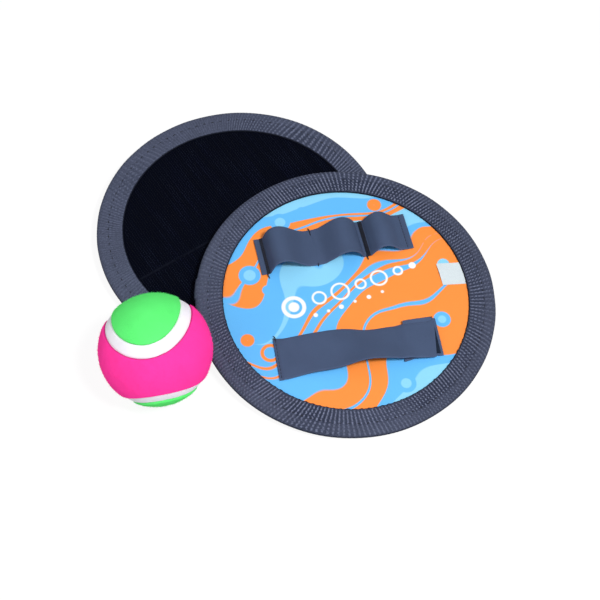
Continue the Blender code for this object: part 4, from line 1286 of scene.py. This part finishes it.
class CATCHSET_OT_wrist_straps(Maker, bpy.types.Operator):
    """Make the wrist straps: the short piece with its hook patch, and the long piece laid over them"""

    bl_idname = "catchset.wrist_straps"
    bl_label = "Wrist straps"

    def make(self, scene):
        values = scene.catch_strap
        finish = strap_material(values)
        thread = bpy.data.materials["strap_thread"]
        hues = values.patch, values.patch * 0.4
        patch_finish = knit_material("hook_patch", *hues, (0.0009, 0.0009), 0.0003)[0]
        for prefix in PADDLES:
            place = paddle_matrix(prefix)
            layers = WristLayers(values, place, prefix)
            pieces, places, paths = {}, [], []
            for label, node, made, tails in (
                ("over", "_wrist_strap_long", layers.long_strap(), ((1, 1.9, -0.9, 1.6),)),
                ("under", "_wrist_strap_short", layers.short_strap(), ((1, 0.9, -2.4, 0.6), (1, 1.1, 0.2, 0.6))),
            ):
                strap, press, station = made
                name = f"{prefix}_wrist_strap_{label}"
                mesh = strap.slab(name, values.thickness, press)
                places.append(strap.stitch_places(station, STITCH_PITCH, 0.02 * MM))
                paths += [strap.thread_end(station, *tail) for tail in tails]
                piece = add_piece(name, mesh, finish, [prefix + node], place, SOFT_ANGLE)
                pieces[label] = piece, float(strap.along[-1])
            seam = sew(prefix + "_wrist_strap_seams", places, thread, place)
            tails = trim(prefix + "_wrist_strap_thread_ends", paths, thread, place)
            strap, press = layers.patch()
            mesh = strap.slab(prefix + "_wrist_patch", layers.patch_thickness, press)
            node = prefix + "_wrist_hook_patch"
            add_piece(prefix + "_wrist_patch", mesh, patch_finish, [node], place, SOFT_ANGLE)


class WristLayers:
    """The wrist strap's layers in one paddle's frame, pressed flat where the paddle lies on them."""

    def __init__(self, values, place, prefix):
        self.thickness = values.thickness
        self.width = values.width
        self.slack = WRIST_SLACK[prefix]
        self.room = floor_room(place, prefix)
        self.flat = STRAP_CLEARANCE + values.thickness / 2
        self.end = WRIST_STRAP_LENGTH / 2
        self.top_level = values.thickness + HOOK_PATCH_THICKNESS + 2 * STRAP_CLEARANCE
        self.patch_thickness = 0.6 * HOOK_PATCH_THICKNESS
        marks = np.array(WRIST_EDGES)
        x = np.linspace(-self.end, self.end, 393)
        table = np.stack([np.interp(x / MM, marks[:, 0], marks[:, k]) for k in range(1, 5)], axis=1)
        for _ in range(90):
            table[1:-1] = (table[:-2] + 2 * table[1:-1] + table[2:]) / 4
        self.table_x, self.table = x, table * MM

    def new_strap(self):
        return Strap(-WRIST_STRAP_OFFSET, WRIST_STRAP_SKEW, self.width)

    def long_strap(self):
        """The long piece: sewn down at the left, bulged, and laid over the short piece at the right."""
        strap = self.new_strap()
        rows = []
        for y in strap.across:
            share = y / self.width + 0.5
            x = np.linspace(-self.end, LONG_STRAP_REACH + LONG_STRAP_SLANT * share, 231)
            front_y, front, rear_y, rear = (np.interp(x, self.table_x, column) for column in self.table.T)
            half = self.width / 2
            front_y, rear_y = -half + (front_y + half) * self.slack, half + (rear_y - half) * self.slack
            height = self.flat + self.slack * (front + (rear - front) * share)
            place = front_y + (rear_y - front_y) * share
            spots = strap.put(np.stack([x, place, x * 0], axis=1))
            limit = self.room(spots) - self.thickness / 2 - self.top_level - 0.1 * MM
            height = np.maximum(soft_minimum(height, limit, self.thickness / 2), self.flat)
            height += self.top_level * smooth_step((x - 0.0215) / 0.0085)
            height -= 0.5 * MM * (1.0 - share) ** 4 * smooth_step((x - 0.034) / 0.008)
            rows.append(np.stack([x, place, height], axis=1))
        strap.set_rows(rows)
        sewn = -self.end + 0.24 * WRIST_SEWN_END
        x = strap.middle[len(rows) // 2, :, 0]
        press = 1.0 - SEWN_DEPTH * hump(x, sewn, SEWN_SPREAD)
        return strap, press, int(np.argmin(np.abs(x - sewn)))

    def short_level(self, x):
        """How far the short piece is lifted towards the long one, from its sewn end on."""
        lift = self.top_level - self.thickness - self.patch_thickness - 0.1 * MM
        return lift * (1.0 - smooth_step((x - SHORT_STRAP_BEND) / 0.0035))

    def short_strap(self):
        """The short piece: sewn down at the right, held up to the long piece, its free corner hanging."""
        strap = self.new_strap()
        left, right = SHORT_STRAP_REACH, self.end - 0.9 * MM
        x = np.linspace(right, left, 90)
        marks = np.array([left, left + 0.003, left + 0.006, SHORT_STRAP_BEND, right])
        front = np.interp(x, marks, np.array([-12.5, -12.2, -11.5, -11.5, -11.7]) * MM)
        rear = np.interp(x, marks, np.array([13.4, 13.6, 13.7, 13.8, 12.9]) * MM)
        rows = []
        for y in strap.across:
            share = y / self.width + 0.5
            spots = x - 0.0038 * (1.0 - share) * (1.0 - (x - left) / (right - left))
            droop = (1.0 - share) ** 2 * (1.0 - smooth_step((x - left) / 0.006))
            level = self.short_level(x)
            curl = 0.2 * MM * smooth_step((share - 0.86) / 0.14) * level / level.max()
            height = self.flat + level * (1.0 - droop) + curl * self.slack
            rows.append(np.stack([spots, front + (rear - front) * share, height], axis=1))
        strap.set_rows(rows)
        sewn = 0.45 * WRIST_SEWN_END
        press = 1.0 - SEWN_DEPTH * hump(strap.along, sewn, SEWN_SPREAD)
        return strap, press, int(np.argmin(np.abs(strap.along - sewn)))

    def patch(self):
        """The hook patch between the two. Its right end runs past the packed patch's, so that its dark face shows as
        painted shade in the wedge by the long strap's end.
        """
        strap = self.new_strap()
        x = np.linspace(HOOK_PATCH_START, self.end - HOOK_PATCH_INSET, 41)
        level = self.flat + (self.thickness + self.patch_thickness) / 2 + 0.05 * MM + self.short_level(x)
        rows = [np.stack([x, np.full(len(x), y * 0.80 - 0.6 * MM), level], axis=1) for y in strap.across]
        strap.set_rows(rows)
        return strap, np.ones(len(x))


class CATCHSET_OT_side_label(Maker, bpy.types.Operator):
    """Make the bare white label beside the front paddle's binding"""

    bl_idname = "catchset.side_label"
    bl_label = "Side label"

    def make(self, scene):
        values = scene.catch_strap
        hues = values.label, values.label * 0.82
        finish = knit_material("label_ribbon", *hues, (0.0005, 0.0004), 0.00005, 0.25)[0]
        steps, inner = 24, LABEL_END - LABEL_LENGTH

        def spot(i, j):
            y = (j / steps - 0.5) * LABEL_WIDTH
            edge = math.sqrt(LABEL_END**2 - y**2)
            return inner + (edge - inner) * i / steps, y, BACK_Z + 0.12 * MM

        bm = grid_sheet(steps, steps, spot)
        thicken(bm, raised(0.28 * MM))
        mesh = to_mesh(bm, "front_label_ribbon")
        points = mesh_points(mesh)
        set_uv(mesh, points[:, 0], points[:, 1])
        free = smooth_step((LABEL_END - 0.003 - points[:, 0]) / 0.009)
        points[:, 2] += free * (0.35 + 0.22 * np.sin(points[:, 1] / LABEL_WIDTH * 5.0 + 0.6)) * MM
        points[:, 1] += (LABEL_END - points[:, 0]) * 0.13 + 0.4 * MM
        set_points(mesh, points)
        mesh.transform(Matrix.Rotation(LABEL_TURN, 4, "Z"))
        node = "front_side_label"
        piece = add_piece("front_label_ribbon", mesh, finish, [node], paddle_matrix("front"))


def seam_line(turn):
    """Points on the ball's seam line, on the unit sphere, and the directions to the pink side."""
    turn = np.asarray(turn, float)
    near, far = SEAM_SWING, 1.0 - SEAM_SWING
    rise = 2.0 * math.sqrt(near * far)
    x = near * np.cos(turn) + far * np.cos(3 * turn)
    y = near * np.sin(turn) - far * np.sin(3 * turn)
    point = np.stack([x, y, rise * np.sin(2 * turn)], axis=-1)
    point /= np.linalg.norm(point, axis=-1, keepdims=True)
    x_ahead = -near * np.sin(turn) - 3 * far * np.sin(3 * turn)
    y_ahead = near * np.cos(turn) - 3 * far * np.cos(3 * turn)
    aside = np.cross(point, np.stack([x_ahead, y_ahead, 2 * rise * np.cos(2 * turn)], axis=-1))
    return point, aside / np.linalg.norm(aside, axis=-1, keepdims=True)


def beside_seam(turn, distance):
    """Unit directions at an angle beside the seam line, towards the pink side if positive."""
    point, aside = seam_line(turn)
    return point * math.cos(distance) + aside * math.sin(distance)


class CATCHSET_OT_ball_felt(Maker, bpy.types.Operator):
    """Make the ball's two interlocking felt panels, with their loose fibres"""

    bl_idname = "catchset.ball_felt"
    bl_label = "Ball felt"

    def make(self, scene):
        values = scene.catch_ball
        place = ball_matrix()
        # label, side, colour, painted light given off as emission, and the share of the colour left in painted shade
        # by the seam's groove
        for label, side, face, painted_glow, groove_shade in (
            ("pink", 1, values.pink, 0.24, 0.60),
            ("green", -1, values.green, 0.05, 0.92),
        ):
            finish = felt_material(label + "_felt", face, 0.30, painted_glow, groove_shade)
            mesh = self.panel(values, side, label)
            fibres = self.fibres(values, mesh, label, side, finish, place)
            name, node = f"ball_{label}_panel", "ball_felt_" + label
            piece = add_piece(name, mesh, finish, [node], place, SOFT_ANGLE)

    def panel(self, values, side, label):
        """Arcs from each seam point to its mirror point, bulged to a felt with soft edges."""
        outer = values.diameter / 2
        edge = side * (values.seam_width / 2 + 0.5 * SEAM_GAP) / outer
        first = -math.pi / 4 if side > 0 else math.pi / 4
        steps, across = 156, 44
        turn = first + math.pi * (np.arange(steps + 1) / steps)
        start, end = beside_seam(turn, edge), beside_seam(2 * first - turn, edge)

        def spot(i, j):
            share = i / across - 0.11 * math.sin(math.tau * i / across)
            angle = math.acos(max(-1.0, min(1.0, float(start[j] @ end[j]))))
            if angle < 1e-5:
                return Vector(start[j]) * outer
            weights = math.sin((1 - share) * angle), math.sin(share * angle)
            return Vector((start[j] * weights[0] + end[j] * weights[1]) / math.sin(angle)) * outer

        bm = grid_sheet(across, steps, spot)
        bmesh.ops.remove_doubles(bm, verts=bm.verts, dist=2e-5)
        bmesh.ops.recalc_face_normals(bm, faces=bm.faces)
        thicken(bm, lambda point: point * ((outer - FELT_THICKNESS) / outer))
        mesh = to_mesh(bm, f"ball_{label}_panel")
        points = mesh_points(mesh)
        reach = np.linalg.norm(points, axis=1)
        direction = points / reach[:, None]
        line = seam_line(np.linspace(0, math.tau, 721)[:-1])[0]
        from_seam = np.arccos(np.clip((direction @ line.T).max(axis=1), -1, 1)) * outer
        from_edge = from_seam - values.seam_width / 2
        sink = 0.55 * MM * (1.0 - smooth_step(from_edge / (1.1 * MM))) ** 2
        soft = 0.07 * MM * bumps(points, 0.009, 31) + 0.03 * MM * bumps(points, 0.0022, 32)
        on_top = reach > outer - FELT_THICKNESS / 2
        points += direction * (on_top * (soft * smooth_step(from_edge / (2.0 * MM)) - sink))[:, None]
        set_points(mesh, points)
        set_uv(mesh, from_edge, from_edge * 0.0)
        return mesh

    def fibres(self, values, mesh, label, side, finish, place):
        """Fine loose fibres that stand off the felt in all directions."""
        mesh.calc_loop_triangles()
        ids = np.empty(len(mesh.loop_triangles) * 3, np.int32)
        mesh.loop_triangles.foreach_get("vertices", ids)
        ids = ids.reshape(-1, 3)
        points = mesh_points(mesh)
        top = np.linalg.norm(points, axis=1)[ids].min(axis=1) > values.diameter / 2 - 0.0011
        ids = ids[top]
        a, b, c = points[ids[:, 0]], points[ids[:, 1]], points[ids[:, 2]]
        cross = np.cross(b - a, c - a)
        size = np.linalg.norm(cross, axis=1)
        draw = np.random.default_rng(40 + side)
        count = values.fibre_count
        chosen = draw.choice(len(ids), count, p=size / size.sum())
        share = draw.uniform(0, 1, (count, 2))
        over = share.sum(axis=1) > 1
        share[over] = 1 - share[over]
        origins = a[chosen] + share[:, :1] * (b - a)[chosen] + share[:, 1:] * (c - a)[chosen]
        out = origins / np.linalg.norm(origins, axis=1, keepdims=True)
        lean = draw.normal(0, 1.0, (count, 3))
        lean -= out * (lean * out).sum(axis=1, keepdims=True)
        up = out * draw.uniform(0.25, 1.0, (count, 1)) + 0.75 * lean
        up /= np.linalg.norm(up, axis=1, keepdims=True)
        ahead = np.cross(up, draw.normal(0, 1.0, (count, 3)))
        long = values.fibre_length * draw.uniform(0.6, 1.5, count)
        wide = draw.uniform(0.7, 1.2, count) * values.fibre_length
        scale = np.stack([wide, wide, long], axis=1)
        bm = bmesh.new()
        add_tube(bm, [(0, 0, -0.15), (0.10, 0, 0.50), (0.40, 0, 0.95)], [0.045, 0.034, 0.0], 3)
        bmesh.ops.remove_doubles(bm, verts=bm.verts, dist=1e-4)
        fibres = repeat_shape(bm, place_array(origins, ahead, up, scale), f"ball_{label}_fibres")
        rows = np.array(place)
        points = mesh_points(fibres)
        under = np.minimum(points @ rows[2, :3] + rows[2, 3] - FLOOR_CLEARANCE, 0.0)
        set_points(fibres, points - under[:, None] * rows[2, :3])
        set_uv(fibres, np.ones(len(points)), np.zeros(len(points)))
        return add_piece(f"ball_{label}_fibres", fibres, finish, (), place, None)


class CATCHSET_OT_ball_seam(Maker, bpy.types.Operator):
    """Make the white seam that runs between the felt panels"""

    bl_idname = "catchset.ball_seam"
    bl_label = "Ball seam"

    def make(self, scene):
        values = scene.catch_ball
        # The second 0.12 is painted light: the seam gives off its own colour as emission.
        finish = felt_material("white_seam", values.seam, 0.12, 0.12, sheen=0.05)
        outer = values.diameter / 2
        half = values.seam_width / 2 / outer
        steps, around = 288, 12
        turns = np.arange(steps + 1) * math.tau / steps
        lines = [beside_seam(turns, half * (2 * i / around - 1)) for i in range(around + 1)]

        def spot(i, j):
            share = 2 * i / around - 1
            return Vector(lines[i][j]) * (outer - 0.75 * MM - 0.55 * MM * share**6)

        bm = grid_sheet(around, steps, spot)
        bmesh.ops.remove_doubles(bm, verts=bm.verts, dist=1e-5)
        bmesh.ops.recalc_face_normals(bm, faces=bm.faces)
        thicken(bm, lambda point: point.normalized() * (outer - FELT_THICKNESS))
        mesh = to_mesh(bm, "ball_white_seam")
        spots = mesh_points(mesh)
        direction = spots / np.linalg.norm(spots, axis=1, keepdims=True)
        top = np.linalg.norm(spots, axis=1) > outer - 1.0 * MM
        spots += direction * (top * 0.05 * MM * bumps(spots, 0.004, 51))[:, None]
        set_points(mesh, spots)
        set_uv(mesh, np.ones(len(spots)), np.zeros(len(spots)))
        add_piece("ball_white_seam", mesh, finish, ["ball_seam"], ball_matrix(), SOFT_ANGLE)


class CATCHSET_PT_panel(bpy.types.Panel):
    """The catch set's pieces and values in the sidebar"""

    bl_idname = "CATCHSET_PT_panel"
    bl_label = "Catch set"
    bl_space_type = "VIEW_3D"
    bl_region_type = "UI"
    bl_category = "Catch Set"

    def draw(self, context):
        for operator in OPERATORS:
            self.layout.operator(operator.bl_idname)
        for name, group in GROUPS.items():
            box = self.layout.box()
            box.label(text=group.__doc__)
            for key in group.__annotations__:
                box.prop(getattr(context.scene, name), key)


OPERATORS = (
    CATCHSET_OT_stage,
    CATCHSET_OT_cores,
    CATCHSET_OT_printed_backs,
    CATCHSET_OT_hook_tapes,
    CATCHSET_OT_edge_bindings,
    CATCHSET_OT_finger_straps,
    CATCHSET_OT_wrist_straps,
    CATCHSET_OT_side_label,
    CATCHSET_OT_ball_felt,
    CATCHSET_OT_ball_seam,
)
CLASSES = (*GROUPS.values(), *OPERATORS, CATCHSET_PT_panel)


def register():
    for item in CLASSES:
        bpy.utils.register_class(item)
    for name, group in GROUPS.items():
        setattr(bpy.types.Scene, name, bpy.props.PointerProperty(type=group))


def unregister():
    for name in GROUPS:
        delattr(bpy.types.Scene, name)
    for item in reversed(CLASSES):
        bpy.utils.unregister_class(item)


def main():
    """Make every piece in order."""
    register()
    for operator in OPERATORS:
        getattr(bpy.ops.catchset, operator.bl_idname.split(".")[1])()


if __name__ == "__main__":
    main()
